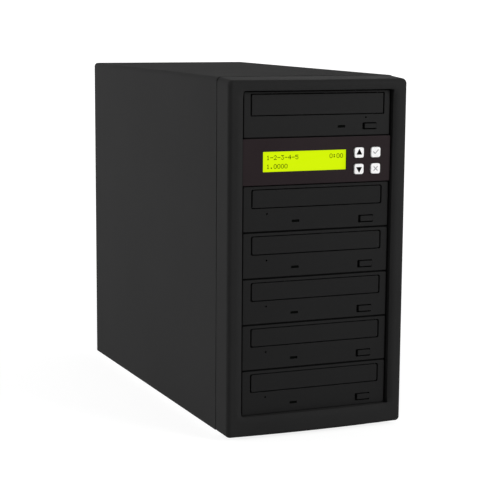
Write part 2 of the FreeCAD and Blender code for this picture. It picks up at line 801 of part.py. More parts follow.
def board_on_posts(sizes, y, low):
    # A circuit board on four posts that stand on low, its front and rear edges measured from y
    half, inset, deck = sizes["half"], sizes["post_inset"], low + sizes["rise"]
    y0, y1 = [y + edge for edge in sizes["y"]]
    pieces = [block(-half, half, y0, y1, deck, deck + board_t)]
    for post_x in (inset - half, half - inset):
        for post_y in (y0 + inset, y1 - inset):
            pieces.append(rod(sizes["post_r"], (post_x, post_y, low), (post_x, post_y, deck)))
    return pieces, deck + board_t


def drive_mechanism(bay):
    # The fixed insides of one drive
    z0, y = bay_z(bay), face_y
    low = shell_z(bay) + shell_wall
    rail = block(loader_inner, loader_outer, y + loader_front, y + tray_end,
                 low, z0 + tray_low - tray_clearance)
    beam = block(-loader_outer, loader_outer, y + loader_beam["front"], y + tray_end,
                 low + loader_beam["low"], z0 + loader_beam["top"])
    loader = join(rail, mirrored(rail), beam)
    pieces, top = board_on_posts(drive_board, y, low)
    plug = block(plug_left, plug_right, y + plug_front, y + plug_end, top, low + plug_top)
    circuit = join(plug, *pieces)
    front, rear = y + rod_lug["y"][0], y + rod_lug["y"][1] + rod_lug["t"]
    guides = [rod_y(guide_r, x, z0 + guide_level, front, rear) for x in (-guide_x, guide_x)]
    roof = shell_z(bay) + shell_h - shell_wall
    puck = rod(clamp_r, (0, y + disc_center, z0 + clamp_low), (0, y + disc_center, roof))
    return [loader, circuit, traverse_plate(bay), *guides, optical_pickup(bay), puck]


def spindle(bay):
    z0, y = bay_z(bay), face_y + disc_center
    low, top = [z0 + z for z in turntable["z"]]
    shaft = rod(shaft_r, (0, y, z0 + shaft_low), (0, y, low + over))
    table = rod(turntable["r"], (0, y, low), (0, y, top))
    cone = Part.makeCone(*turntable["cone"], Vector(0, y, top))
    return join(shaft, table, cone)


# Display panel

def key_places():
    return [(x, bay_z(panel_bay) + level) for x in key_columns.values() for level in key_rows.values()]


def panel_faceplate():
    z0 = bay_z(panel_bay)
    low = z0 + (bay_pitch - plate_h) / 2
    y0, y1 = face_y + plate_front, face_y + plate_back
    plate = rounded_block(-plate_w / 2, plate_w / 2, y0, y1, low, low + plate_h,
                          faceplate_corner_r, faceplate_edge_r)
    y0, y1 = y0 - over, y1 + over
    cx, cz = lcd_center_x, z0 + lcd_level
    cuts = [rounded_block(cx - lcd_half_w, cx + lcd_half_w, y0, y1,
                          cz - lcd_half_h, cz + lcd_half_h, lcd_corner_r)]
    reach = key_size / 2 + key_gap
    for x, z in key_places():
        cuts.append(rounded_block(x - reach, x + reach, y0, y1, z - reach, z + reach, key_r + key_gap))
    return only_solid(plate.cut(cuts))


def panel_bracket():
    # A folded steel bracket in the panel's bay: it carries the faceplate and the boards behind it
    low, z0 = shell_z(panel_bay), bay_z(panel_bay)
    half = shell_w / 2
    y0, y1 = face_y + plate_back, face_y + bracket_end
    floor = block(-half, half, y0, y1, low, low + sheet)
    wall = block(half - sheet, half, y0, y1, low, low + shell_h)
    nose = block(-half, half, y0, y0 + sheet, low, low + shell_h)
    bracket = join(floor, wall, mirrored(wall), nose)
    y0, y1 = y0 - over, y0 + sheet + over
    cx, cz = lcd_center_x, z0 + lcd_level
    reach_x = lcd_half_w + lcd_frame_w + lcd_bracket_gap
    reach_z = lcd_half_h + lcd_frame_h + lcd_bracket_gap
    display = block(cx - reach_x, cx + reach_x, y0, y1, cz - reach_z, cz + reach_z)
    reach = key_size / 2 + key_collar + key_window_gap
    keys = block(key_columns["left"] - reach, key_columns["right"] + reach, y0, y1,
                 z0 + key_rows["bottom"] - reach, z0 + key_rows["top"] + reach)
    return only_solid(bracket.cut([display, keys] + side_screw_holes(panel_bay)))


def lcd_glass():
    cx, cz = lcd_center_x, bay_z(panel_bay) + lcd_level
    y0 = face_y + plate_back + lcd_glass_y
    reach_x, reach_z = lcd_half_w + lcd_glass_margin[0], lcd_half_h + lcd_glass_margin[1]
    return block(cx - reach_x, cx + reach_x, y0, y0 + lcd_glass_t, cz - reach_z, cz + reach_z)


def lcd_module():
    # The pressed frame around the glass, and the display's board on posts behind the bracket's nose
    cx, cz = lcd_center_x, bay_z(panel_bay) + lcd_level
    y0, y1 = face_y + plate_back + lcd_frame_gap, face_y + lcd_board["y"]

    def around(reach_x, reach_z, front, back):
        half_x, half_z = lcd_half_w + reach_x, lcd_half_h + reach_z
        return block(cx - half_x, cx + half_x, front, back, cz - half_z, cz + half_z)

    frame = around(lcd_frame_w, lcd_frame_h, y0, y1)
    margin_x, margin_z = [margin + lcd_frame_gap for margin in lcd_glass_margin]
    hollow = around(margin_x, margin_z, y0 + lcd_frame_t, y1 + over)
    window = around(lcd_window_gap, lcd_window_gap, y0 - over, y0 + over)
    frame = only_solid(frame.cut([hollow, window]))
    board = block(cx - lcd_board["left"], cx + lcd_board["right"], y1, y1 + board_t,
                  cz - lcd_board["half_h"], cz + lcd_board["half_h"])
    nose_y = face_y + plate_back + sheet
    across, up = lcd_posts
    posts = [rod_y(lcd_post_r, cx + dx, cz + dz, nose_y, y1) for dx in (-across, across) for dz in (-up, up)]
    return [frame, join(board, *posts)]


def panel_key(column, row):
    x, z = key_columns[column], bay_z(panel_bay) + key_rows[row]
    half = key_size / 2
    back = face_y + plate_back
    seat = back + key_collar_gap
    cap = rounded_block(x - half, x + half, face_y + plate_front - key_proud, seat + key_collar_t,
                        z - half, z + half, key_r, key_edge_r)
    reach = half + key_collar
    collar = block(x - reach, x + reach, seat, seat + key_collar_t, z - reach, z + reach)
    stem = rod_y(key_stem_r, x, z, back + over, face_y + keypad_y - switch_h - key_travel - switch_gap)
    return join(cap, collar, stem)


# Circuit boards

def keypad_board():
    z0 = bay_z(panel_bay)
    y0 = face_y + keypad_y
    (x0, x1), (low, high) = keypad_x, keypad_levels
    board = block(x0, x1, y0, y0 + board_t, z0 + low, z0 + high)
    half = switch_foot
    switches = [block(x - half, x + half, y0 - switch_h, y0, z - half, z + half) for x, z in key_places()]
    nose_y = face_y + plate_back + sheet
    posts = []
    for x in (x0 + 2 * keypad_post_inset, x1 - 2 * keypad_post_inset):
        for level in (low + keypad_post_inset, high - keypad_post_inset):
            posts.append(rod_y(keypad_post_r, x, z0 + level, nose_y, y0))
    return join(board, *switches, *posts)


def controller_board():
    pieces, top = board_on_posts(controller, face_y, shell_z(panel_bay) + sheet)

    def chip(x0, x1, edges, height):
        return block(x0, x1, face_y + edges[0], face_y + edges[1], top, top + height)

    def socket(x, sizes):
        edges = (controller_end - sizes["depth"], controller_end)
        return chip(x - sizes["half"], x + sizes["half"], edges, sizes["h"])

    pieces.append(chip(-processor["half"], processor["half"], processor["y"], processor["h"]))
    pieces += [chip(x, x + memory["w"], memory["y"], memory["h"]) for x in memory["x"]]
    pieces += [socket(x, data_socket) for x in data_lead_xs]
    pieces.append(socket(power_lead_x, power_socket))
    return join(*pieces)


def psu_board():
    pieces, top = board_on_posts(supply, psu_front_y, psu_bottom + psu_wall)
    y0, y1 = [psu_front_y + y for y in transformer["y"]]
    pieces.append(block(*transformer["x"], y0, y1, top, top + transformer["h"]))
    y0, y1 = [psu_front_y + y for y in heat_sink["y"]]
    pieces += [block(x, x + heat_sink["w"], y0, y1, top, top + heat_sink["h"]) for x in heat_sink["x"]]
    for y in capacitor["y"]:
        foot = Vector(capacitor["x"], psu_front_y + y, top)
        pieces.append(Part.makeCylinder(capacitor["r"], capacitor["h"], foot))
    return join(*pieces)


# Power supply

def psu_case():
    low, high = psu_bottom, psu_bottom + psu_h
    outer = block(-psu_half_w, psu_half_w, psu_front_y, panel_in_y, low, high)
    cuts = [block(-psu_half_w + psu_wall, psu_half_w - psu_wall,
                  psu_front_y + psu_wall, panel_in_y - psu_wall, low + psu_wall, high - psu_wall)]
    y0, y1 = panel_in_y - psu_wall - over, panel_in_y + over
    cuts.append(rod_y(psu_fan["bore"], *psu_fan["at"], y0, y1))
    for (x, z), (half_x, half_z) in ((inlet_at, inlet_half), (switch_at, switch_half)):
        reach_x, reach_z = half_x + snap_gap, half_z + snap_gap
        cuts.append(block(x - reach_x, x + reach_x, y0, y1, z - reach_z, z + reach_z))
    cuts += [rod_y(fan_hole_r, x, z, y0, y1) for x, z in fan_corners(psu_fan)]
    cuts += [rod_y(case_hole_r, x, z, y0, y1) for x, z in psu_screw_places()]
    y0, y1 = psu_front_y - over, psu_front_y + psu_wall + over
    bottom, top = psu_slots["z"]
    for i in range(psu_slots["count"]):
        x = psu_slots["left"] + i * psu_slots["pitch"]
        cuts.append(block(x, x + psu_slots["w"], y0, y1, low + bottom, low + top))
    cuts.append(rod_y(power_lead_r + power_lead_gap, power_lead_x, plug_z(0), y0, y1))
    return only_solid(outer.cut(cuts))


def power_inlet():
    # A recessed three-blade inlet with its two upper corners cut
    x, z = inlet_at
    y = panel_in_y
    half_x, half_z, thick = inlet["flange"]
    flange = rounded_block(x - half_x, x + half_x, y, y + thick, z - half_z, z + half_z, inlet["corner_r"])
    half_x, half_z = inlet_half
    body = block(x - half_x, x + half_x, y - inlet["depth"], y + over, z - half_z, z + half_z)
    half_x, half_z, deep = inlet["mouth"]
    mouth = block(x - half_x, x + half_x, y - deep, y + thick + over, z - half_z, z + half_z)
    upper = [e for e in edges_along(mouth, Vector(0, 1, 0)) if e.BoundBox.ZMin > z]
    shell = join(flange, body).cut(mouth.makeChamfer(inlet["corner_cut"], upper))
    half_x, half_z = inlet["blade"]
    root, tip = inlet["blade_y"]
    blades = []
    for dx, dz in inlet["blades"]:
        bx, bz = x + dx, z + dz
        blades.append(block(bx - half_x, bx + half_x, y + root, y + tip, bz - half_z, bz + half_z))
    return only_solid(join(shell, *blades))


def switch_frame():
    x, z = switch_at
    y = panel_in_y
    half_x, half_z, thick = switch["flange"]
    flange = rounded_block(x - half_x, x + half_x, y, y + thick, z - half_z, z + half_z, switch["corner_r"])
    half_x, half_z = switch_half
    body = block(x - half_x, x + half_x, y - switch["depth"], y + over, z - half_z, z + half_z)
    half_x, half_z, deep = switch["well"]
    well = block(x - half_x, x + half_x, y - deep, y + thick + over, z - half_z, z + half_z)
    radius, reach = switch["bearing"]
    bearing = rod(radius, (x - reach, y - rocker_depth, z), (x + reach, y - rocker_depth, z))
    return only_solid(join(flange, body).cut([well, bearing]))


def power_rocker():
    # A see-saw lever on a cross pin, stored tipped to its off side
    tip_z, crest, shoulder, heel, keel = 6.7, 6.6, 5.2, -3.0, -5.0
    outline = [(crest, 0), (shoulder, tip_z), (heel, tip_z), (keel, 0), (heel, -tip_z), (shoulder, -tip_z)]
    points = [Vector(-rocker_half, y, z) for y, z in outline + outline[:1]]
    lever = Part.Face(Part.makePolygon(points)).extrude(Vector(2 * rocker_half, 0, 0))
    long_edges = [e for e in edges_along(lever, Vector(1, 0, 0)) if e.BoundBox.YMin > shoulder - near]
    lever = lever.makeFillet(rocker_edge_r, long_edges)
    radius, reach = rocker_pin
    rocker = join(lever, rod(radius, (-reach, 0, 0), (reach, 0, 0)))
    rocker.rotate(Vector(0, 0, 0), Vector(1, 0, 0), -rocker_tilt)
    rocker.translate(Vector(switch_at[0], panel_in_y - rocker_depth, switch_at[1]))
    return rocker


# Fans

def fan_frame(fan):
    x, z = fan["at"]
    half = fan["size"] / 2
    y0, y1 = fan["back_y"] - fan_t, fan["back_y"]
    body = rounded_block(x - half, x + half, y0, y1, z - half, z + half, fan_corner_r)
    reach = half + over
    waist = rounded_block(x - reach, x + reach, y0 + fan_flange_t, y1 - fan_flange_t,
                          z - reach, z + reach, fan_corner_r)
    waist = waist.cut(rod_y(fan["bore"] + fan_wall, x, z, y0, y1))
    cuts = [rod_y(fan["bore"], x, z, y0 - over, y1 + over), waist]
    cuts += [rod_y(fan_thread_r, cx, cz, y0 - over, y1 + over) for cx, cz in fan_corners(fan)]
    strut_half, strut_t = fan_strut
    hub = rod_y(fan["hub"] + fan_hub_rim, x, z, y0, y0 + strut_t)
    post = rod_y(fan_post_r, x, z, y0 + strut_t - over, y1 - fan_post_gap)
    struts = []
    for i in range(4):
        strut = block(-strut_half, strut_half, y0, y0 + strut_t, fan["hub"] - over, fan["bore"] + over)
        strut.rotate(Vector(0, 0, 0), Vector(0, 1, 0), 45 + 90 * i)
        strut.translate(Vector(x, 0, z))
        struts.append(strut)
    return only_solid(join(body.cut(cuts), hub, post, *struts))


def blade_section(radius, chord, pitch, thickness):
    # A curved blade section on the plane at this radius, its chord tipped by pitch
    sag = chord * blade["camber"]
    left, right = (-chord / 2, 0.0), (chord / 2, 0.0)
    arcs = [(left, (0.0, sag + thickness / 2), right), (right, (0.0, sag - thickness / 2), left)]
    c, s = math.cos(math.radians(pitch)), math.sin(math.radians(pitch))
    edges = []
    for arc in arcs:
        points = [Vector(u * c - v * s, u * s + v * c, radius) for u, v in arc]
        edges.append(Part.Arc(*points).toShape())
    return Part.Wire(edges)


def fan_rotor(fan):
    y0, y1 = rotor["y"]
    hub = rod_y(fan["hub"], 0, 0, y0, y1)
    hub = hub.makeFillet(rotor["edge_r"], edges_at_y(hub, y1))
    bore = rod_y(rotor["bore_r"], 0, 0, y0 - over, rotor["bore_end"])
    tip = fan["bore"] - rotor["tip_gap"]
    chord, pitch, thick = blade["root"]
    root_wire = blade_section(fan["hub"] - 2 * over, chord * fan["hub"], pitch, thick)
    chord, pitch, thick = blade["tip"]
    tip_wire = blade_section(tip + over, chord * fan["bore"], pitch, thick)
    vanes = []
    for i in range(fan["blades"]):
        vane = Part.makeLoft([root_wire, tip_wire], True, True)
        vane.rotate(Vector(0, 0, 0), Vector(0, 1, 0), 360.0 * i / fan["blades"])
        vanes.append(vane)
    sweep = rod_y(tip, 0, 0, y0 - over, y1 + over)
    made = only_solid(join(hub, *vanes).common(sweep).cut(bore))
    x, z = fan["at"]
    made.translate(Vector(x, fan["back_y"] - fan_t / 2 + over, z))
    return made


def fan_guard(fan):
    # A welded wire finger guard: rings on two crossed wires, with an eye at each corner
    x, z = fan["at"]
    wire, seat = guard_wire_r, fan["guard_y"]
    inner = guard_inner * fan["hub"]
    step = (fan["bore"] + over - inner) / (fan["rings"] - 1)
    center = Vector(x, seat + wire + guard_ring_rise, z)
    wires = []
    for i in range(fan["rings"]):
        wires.append(Part.makeTorus(inner + i * step, wire, center, Vector(0, 1, 0)))
    reach = fan["pitch"] - guard_eye_r * math.cos(math.pi / 4)
    for side in (-1, 1):
        start = (x - reach, seat + wire, z - side * reach)
        wires.append(rod(wire, start, (x + reach, seat + wire, z + side * reach)))
    for cx, cz in fan_corners(fan):
        wires.append(Part.makeTorus(guard_eye_r, wire, Vector(cx, seat + wire, cz), Vector(0, 1, 0)))
    return only_solid(join(*wires))


# Wiring inside the case

def bent_tube(radius, points):
    # A tube along straight runs joined by tangent arcs that are as large as the runs allow
    stations = [Vector(*p) for p in points]
    edges = []
    start = stations[0]
    for before, corner, after in zip(stations, stations[1:], stations[2:]):
        to_before, to_after = before - corner, after - corner
        setback = 0.45 * min(to_before.Length, to_after.Length)
        to_before.normalize()
        to_after.normalize()
        half_turn = (math.pi - to_before.getAngle(to_after)) / 2
        bend = setback / math.tan(half_turn)
        inward = (to_before + to_after).normalize()
        middle = corner + inward * (bend / math.cos(half_turn) - bend)
        a, b = corner + to_before * setback, corner + to_after * setback
        edges.append(Part.LineSegment(start, a).toShape())
        edges.append(Part.Arc(a, middle, b).toShape())
        start = b
    edges.append(Part.LineSegment(start, stations[-1]).toShape())
    path = Part.Wire(edges)
    section = Part.Wire([Part.makeCircle(radius, stations[0], stations[1] - stations[0])])
    tube = path.makePipeShell([section], True, False)
    swept = math.pi * radius ** 2 * path.Length
    if abs(tube.Volume / swept - 1) > tube_tolerance:
        print("tube volume", tube.Volume, "section times length", swept)
    return tube


def data_leads():
    leads = []
    socket_z = shell_z(panel_bay) + socket_level
    end_y = face_y + plug_end
    for i, bay in enumerate([reader_bay] + writer_bays):
        x, back = data_lead_xs[i], face_y + data_lead_back + data_lead_step * i
        leads.append(bent_tube(data_lead_r, [(x, face_y + controller_end, socket_z), (x, back, socket_z),
                                             (x, back, plug_z(bay)), (x, end_y, plug_z(bay))]))
    return leads


def power_harness():
    # One lead from the power supply to the lowest drive, a riser, and a branch at every bay above
    x, riser_y = power_lead_x, face_y + power_riser
    end_y = face_y + plug_end
    runs = [rod_y(power_lead_r, x, plug_z(0), end_y, psu_front_y + psu_wall)]
    top = plug_z(reader_bay)
    runs.append(bent_tube(power_lead_r, [(x, riser_y, plug_z(0)), (x, riser_y, top), (x, end_y, top)]))
    runs += [rod_y(data_lead_r, x, plug_z(bay), end_y, riser_y) for bay in writer_bays[:-1]]
    runs.append(rod_y(data_lead_r, x, shell_z(panel_bay) + socket_level, face_y + controller_end, riser_y))
    return only_solid(join(*runs))


def main():
    os.makedirs("parts", exist_ok=True)
    save("front_bezel", front_bezel())
    save("base_pan", base_pan())
    save("front_plate", front_plate())
    save("rear_panel", rear_panel())
    save("case_cover", case_cover())
    save("drive_cage", *drive_cage())
    save("rubber_feet", *rubber_feet())
    save("case_screws", *case_screws())
    save("drive_screws", *drive_screws())
    drives = [("reader", reader_bay, reader_layout)]
    drives += [("writer_%d" % (i + 1), bay, writer_layout) for i, bay in enumerate(writer_bays)]
    mechanisms = []
    for name, bay, layout in drives:
        save(name + "_front", drive_front(bay, layout))
        save(name + "_tray_door", tray_door(bay, layout))
        save(name + "_tray", disc_tray(bay))
        save(name + "_eject_button", eject_button(bay, layout))
        save(name + "_spindle", spindle(bay))
        mechanisms += drive_mechanism(bay)
    save("drive_shells", *[drive_shell(bay) for name, bay, layout in drives])
    save("drive_mechanisms", *mechanisms)
    save("lamp_windows", *[lamp_window(bay, layout) for name, bay, layout in drives])
    save("panel_faceplate", panel_faceplate())
    save("panel_bracket", panel_bracket())
    save("lcd_glass", lcd_glass())
    save("lcd_module", *lcd_module())
    save("key_up", panel_key("left", "top"))
    save("key_down", panel_key("left", "bottom"))
    save("key_enter", panel_key("right", "top"))
    save("key_escape", panel_key("right", "bottom"))
    save("circuit_boards", controller_board(), keypad_board(), psu_board())
    save("psu_case", psu_case())
    save("power_inlet", power_inlet())
    save("power_switch_frame", switch_frame())
    save("power_rocker", power_rocker())
    save("fan_frames", fan_frame(exhaust_fan), fan_frame(psu_fan))
    save("fan_guards", fan_guard(exhaust_fan), fan_guard(psu_fan))
    save("exhaust_fan_rotor", fan_rotor(exhaust_fan))
    save("psu_fan_rotor", fan_rotor(psu_fan))
    save("wiring", *data_leads(), power_harness())


main()
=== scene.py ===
import json
import math

import bmesh
import bpy
from mathutils import Matrix, Vector


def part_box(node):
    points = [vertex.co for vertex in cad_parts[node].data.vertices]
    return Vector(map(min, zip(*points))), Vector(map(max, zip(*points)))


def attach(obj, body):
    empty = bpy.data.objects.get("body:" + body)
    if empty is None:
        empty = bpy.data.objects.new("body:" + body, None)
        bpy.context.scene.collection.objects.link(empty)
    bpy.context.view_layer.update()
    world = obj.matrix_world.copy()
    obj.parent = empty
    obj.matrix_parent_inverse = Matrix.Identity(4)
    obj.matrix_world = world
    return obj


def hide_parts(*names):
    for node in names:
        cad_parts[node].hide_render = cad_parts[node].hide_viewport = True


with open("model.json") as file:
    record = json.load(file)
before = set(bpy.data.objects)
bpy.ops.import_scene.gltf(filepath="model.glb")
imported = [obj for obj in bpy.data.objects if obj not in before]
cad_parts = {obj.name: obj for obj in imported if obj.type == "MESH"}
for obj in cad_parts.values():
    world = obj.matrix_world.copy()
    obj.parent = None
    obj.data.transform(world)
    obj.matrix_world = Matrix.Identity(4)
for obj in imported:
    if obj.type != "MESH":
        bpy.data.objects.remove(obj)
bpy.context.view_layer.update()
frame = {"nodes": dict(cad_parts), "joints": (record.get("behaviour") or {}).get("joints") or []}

mm = 0.001        # the settings of small pieces are in millimetres, the studio's in metres
hair = 0.01 * mm       # tolerance for picking faces and edges by their place
along = 0.9        # least share of a direction that counts as along an axis
nodes = frame["nodes"]
driveNames = ["reader", "writer_1", "writer_2", "writer_3", "writer_4", "writer_5"]
pivots = {joint["name"]: Vector(joint["pos_m"]) for joint in frame["joints"] if "pos_m" in joint}
print("frame loaded:", len(nodes), "nodes")


def deselectAll():
    if bpy.context.object and bpy.context.object.mode != "OBJECT":
        bpy.ops.object.mode_set(mode="OBJECT")
    bpy.ops.object.select_all(action="DESELECT")


def makeActive(piece):
    deselectAll()
    piece.select_set(True)
    bpy.context.view_layer.objects.active = piece


def applyPlace(piece):        # the place goes into the mesh, the object stays at the origin
    makeActive(piece)
    bpy.ops.object.transform_apply(location=True, rotation=True, scale=True)


def addBlock(name, low, high):
    low, high = Vector(low), Vector(high)
    deselectAll()
    bpy.ops.mesh.primitive_cube_add(size=1, location=(low + high) / 2)
    piece = bpy.context.object
    piece.name = name
    piece.scale = high - low
    applyPlace(piece)
    return piece


def addSquare(name, size):        # flat, facing up
    deselectAll()
    bpy.ops.mesh.primitive_plane_add(size=size)
    piece = bpy.context.object
    piece.name = name
    return piece


def addDisc(name, sides, radius):        # flat, facing up
    deselectAll()
    bpy.ops.mesh.primitive_circle_add(vertices=sides, radius=radius, fill_type="NGON")
    piece = bpy.context.object
    piece.name = name
    return piece


def editPiece(piece, kind):
    makeActive(piece)
    bpy.ops.object.mode_set(mode="EDIT")
    bpy.ops.mesh.select_mode(type=kind)
    bpy.ops.mesh.select_all(action="DESELECT")
    return bmesh.from_edit_mesh(piece.data)


def chooseFaces(piece, test):
    shape = editPiece(piece, "FACE")
    for face in shape.faces:
        face.select_set(bool(test(face)))
    bmesh.update_edit_mesh(piece.data)


def chooseEdges(piece, test):
    shape = editPiece(piece, "EDGE")
    for edge in shape.edges:
        edge.select_set(bool(test(edge)))
    shape.select_flush_mode()
    bmesh.update_edit_mesh(piece.data)


def edgeWay(edge):        # unit direction of an edge
    return (edge.verts[1].co - edge.verts[0].co).normalized()


def edgeMiddle(edge):
    return (edge.verts[0].co + edge.verts[1].co) / 2


def bevelEdges(piece, test, width, segments=3):
    chooseEdges(piece, test)
    bpy.ops.mesh.bevel(offset=width, segments=segments, affect="EDGES", clamp_overlap=True)
    deselectAll()


def pushChosen(offset):        # extrudes the chosen faces or edges along a straight offset
    bpy.ops.mesh.extrude_region_move(TRANSFORM_OT_translate={"value": offset})


def pushEdges(piece, test, offset):        # extrudes edges of a flat sheet
    chooseEdges(piece, test)
    pushChosen(offset)
    deselectAll()


def closeSheet(piece, offset):        # gives a flat sheet its thickness
    chooseFaces(piece, lambda face: True)
    pushChosen(offset)
    bpy.ops.mesh.select_all(action="SELECT")
    bpy.ops.mesh.normals_make_consistent(inside=False)
    deselectAll()


def turnAndPlace(piece, turn, place):
    piece.rotation_euler = turn
    piece.location = place
    applyPlace(piece)


def copyPiece(piece, name, offset):        # a copy with its own mesh, moved in its mesh
    copy = piece.copy()
    copy.data = piece.data.copy()
    copy.name = name
    copy.data.transform(Matrix.Translation(Vector(offset)))
    bpy.context.scene.collection.objects.link(copy)
    return copy


def joinPieces(pieces, name):
    deselectAll()
    for piece in pieces:
        piece.select_set(True)
    bpy.context.view_layer.objects.active = pieces[0]
    bpy.ops.object.join()
    joined = bpy.context.object
    joined.name = name
    return joined


def smoothPiece(piece, angle=35):
    makeActive(piece)
    bpy.ops.object.shade_smooth_by_angle(angle=math.radians(angle))


def settlePiece(piece, body, materials):        # finish and body of a new piece
    for material in materials[len(piece.data.materials):]:
        piece.data.materials.append(material)
    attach(piece, body)


# Shader node groups give out only masks and heights, and each material sets its own values
fineGrain = {"detail": 2.0, "rough": 0.6, "patchDetail": 4.0, "patch": (0.3, 0.7)}
edgeWear = {"samples": 4, "turn": (0.985, 0.80), "detail": 5.0, "breaks": (0.42, 0.62), "breakScale": 90.0}
settledDust = {"facing": (0.6, 1.0), "detail": 6.0, "patchScale": 30.0}


def addNode(tree, kind, **settings):
    node = tree.nodes.new(kind)
    for key, value in settings.items():
        setattr(node, key, value)
    return node


def addNoise(tree, detail):
    node = addNode(tree, "ShaderNodeTexNoise")
    node.inputs["Detail"].default_value = detail
    return node


def addRange(tree, limits):        # maps the limits onto 0 to 1
    node = addNode(tree, "ShaderNodeMapRange")
    for label, value in zip(("From Min", "From Max"), limits):
        node.inputs[label].default_value = value
    return node


def startGroup(name, inputs, outputs):        # a vector and a few numbers go in, numbers come out
    tree = bpy.data.node_groups.new(name, "ShaderNodeTree")
    tree.interface.new_socket(name="Vector", in_out="INPUT", socket_type="NodeSocketVector")
    for label in inputs:
        tree.interface.new_socket(name=label, in_out="INPUT", socket_type="NodeSocketFloat")
    for label in outputs:
        tree.interface.new_socket(name=label, in_out="OUTPUT", socket_type="NodeSocketFloat")
    return tree, tree.nodes.new("NodeGroupInput"), tree.nodes.new("NodeGroupOutput")


def makeGrainGroup():        # fine moulded or sprayed grain, with broad cloudy patches
    tree, given, result = startGroup("fineGrain", ["Grain Scale", "Patch Scale"], ["Height", "Patch"])
    grain = addNoise(tree, fineGrain["detail"])
    grain.inputs["Roughness"].default_value = fineGrain["rough"]
    patch = addNoise(tree, fineGrain["patchDetail"])
    spread = addRange(tree, fineGrain["patch"])
    tree.links.new(given.outputs["Vector"], grain.inputs["Vector"])
    tree.links.new(given.outputs["Grain Scale"], grain.inputs["Scale"])
    tree.links.new(given.outputs["Vector"], patch.inputs["Vector"])
    tree.links.new(given.outputs["Patch Scale"], patch.inputs["Scale"])
    tree.links.new(patch.outputs["Fac"], spread.inputs["Value"])
    tree.links.new(grain.outputs["Fac"], result.inputs["Height"])
    tree.links.new(spread.outputs["Result"], result.inputs["Patch"])
    return tree


def makeWearGroup():        # rubbed outer edges, broken up along their length
    tree, given, result = startGroup("edgeWear", ["Width", "Break Scale"], ["Mask"])
    rounded = addNode(tree, "ShaderNodeBevel", samples=edgeWear["samples"])
    surface = addNode(tree, "ShaderNodeNewGeometry")
    align = addNode(tree, "ShaderNodeVectorMath", operation="DOT_PRODUCT")
    edge = addRange(tree, edgeWear["turn"])
    breakUp = addNoise(tree, edgeWear["detail"])
    rub = addRange(tree, edgeWear["breaks"])
    both = addNode(tree, "ShaderNodeMath", operation="MULTIPLY")
    tree.links.new(given.outputs["Width"], rounded.inputs["Radius"])
    tree.links.new(rounded.outputs["Normal"], align.inputs[0])
    tree.links.new(surface.outputs["Normal"], align.inputs[1])
    tree.links.new(align.outputs["Value"], edge.inputs["Value"])
    tree.links.new(given.outputs["Vector"], breakUp.inputs["Vector"])
    tree.links.new(given.outputs["Break Scale"], breakUp.inputs["Scale"])
    tree.links.new(breakUp.outputs["Fac"], rub.inputs["Value"])
    tree.links.new(edge.outputs["Result"], both.inputs[0])
    tree.links.new(rub.outputs["Result"], both.inputs[1])
    tree.links.new(both.outputs["Value"], result.inputs["Mask"])
    return tree


def makeDustGroup():        # thin dust on what faces up
    tree, given, result = startGroup("settledDust", ["Patch Scale"], ["Mask"])
    surface = addNode(tree, "ShaderNodeNewGeometry")
    parts = addNode(tree, "ShaderNodeSeparateXYZ")
    facing = addRange(tree, settledDust["facing"])
    cloud = addNoise(tree, settledDust["detail"])
    both = addNode(tree, "ShaderNodeMath", operation="MULTIPLY")
    tree.links.new(surface.outputs["Normal"], parts.inputs["Vector"])
    tree.links.new(parts.outputs["Z"], facing.inputs["Value"])
    tree.links.new(given.outputs["Vector"], cloud.inputs["Vector"])
    tree.links.new(given.outputs["Patch Scale"], cloud.inputs["Scale"])
    tree.links.new(facing.outputs["Result"], both.inputs[0])
    tree.links.new(cloud.outputs["Fac"], both.inputs[1])
    tree.links.new(both.outputs["Value"], result.inputs["Mask"])
    return tree


grainGroup = makeGrainGroup()
wearGroup = makeWearGroup()
dustGroup = makeDustGroup()


def placeGroup(tree, group, source, values):
    node = tree.nodes.new("ShaderNodeGroup")
    node.node_tree = group
    tree.links.new(source, node.inputs["Vector"])
    for label, value in values.items():
        node.inputs[label].default_value = value
    return node


def startMaterial(name):
    material = bpy.data.materials.new(name)
    material.use_nodes = True
    tree = material.node_tree
    return material, tree, tree.nodes["Principled BSDF"]


def mixColors(tree, factor, first, second):        # first and second are sockets or plain colours
    mix = addNode(tree, "ShaderNodeMix", data_type="RGBA")
    for socket, value in ((mix.inputs[6], first), (mix.inputs[7], second)):
        if isinstance(value, tuple):
            socket.default_value = (*value, 1.0)
        else:
            tree.links.new(value, socket)
    tree.links.new(factor, mix.inputs[0])
    return mix.outputs[2]


def scaleMask(tree, mask, amount):
    times = addNode(tree, "ShaderNodeMath", operation="MULTIPLY")
    times.inputs[1].default_value = amount
    tree.links.new(mask, times.inputs[0])
    return times.outputs["Value"]


# Paint, plastic, rubber and metal share one build and differ in their numbers
common = {"wearWidth": 0.7, "bumpDepth": 0.1, "dustColor": (0.30, 0.29, 0.27), "gloss": 0.5}


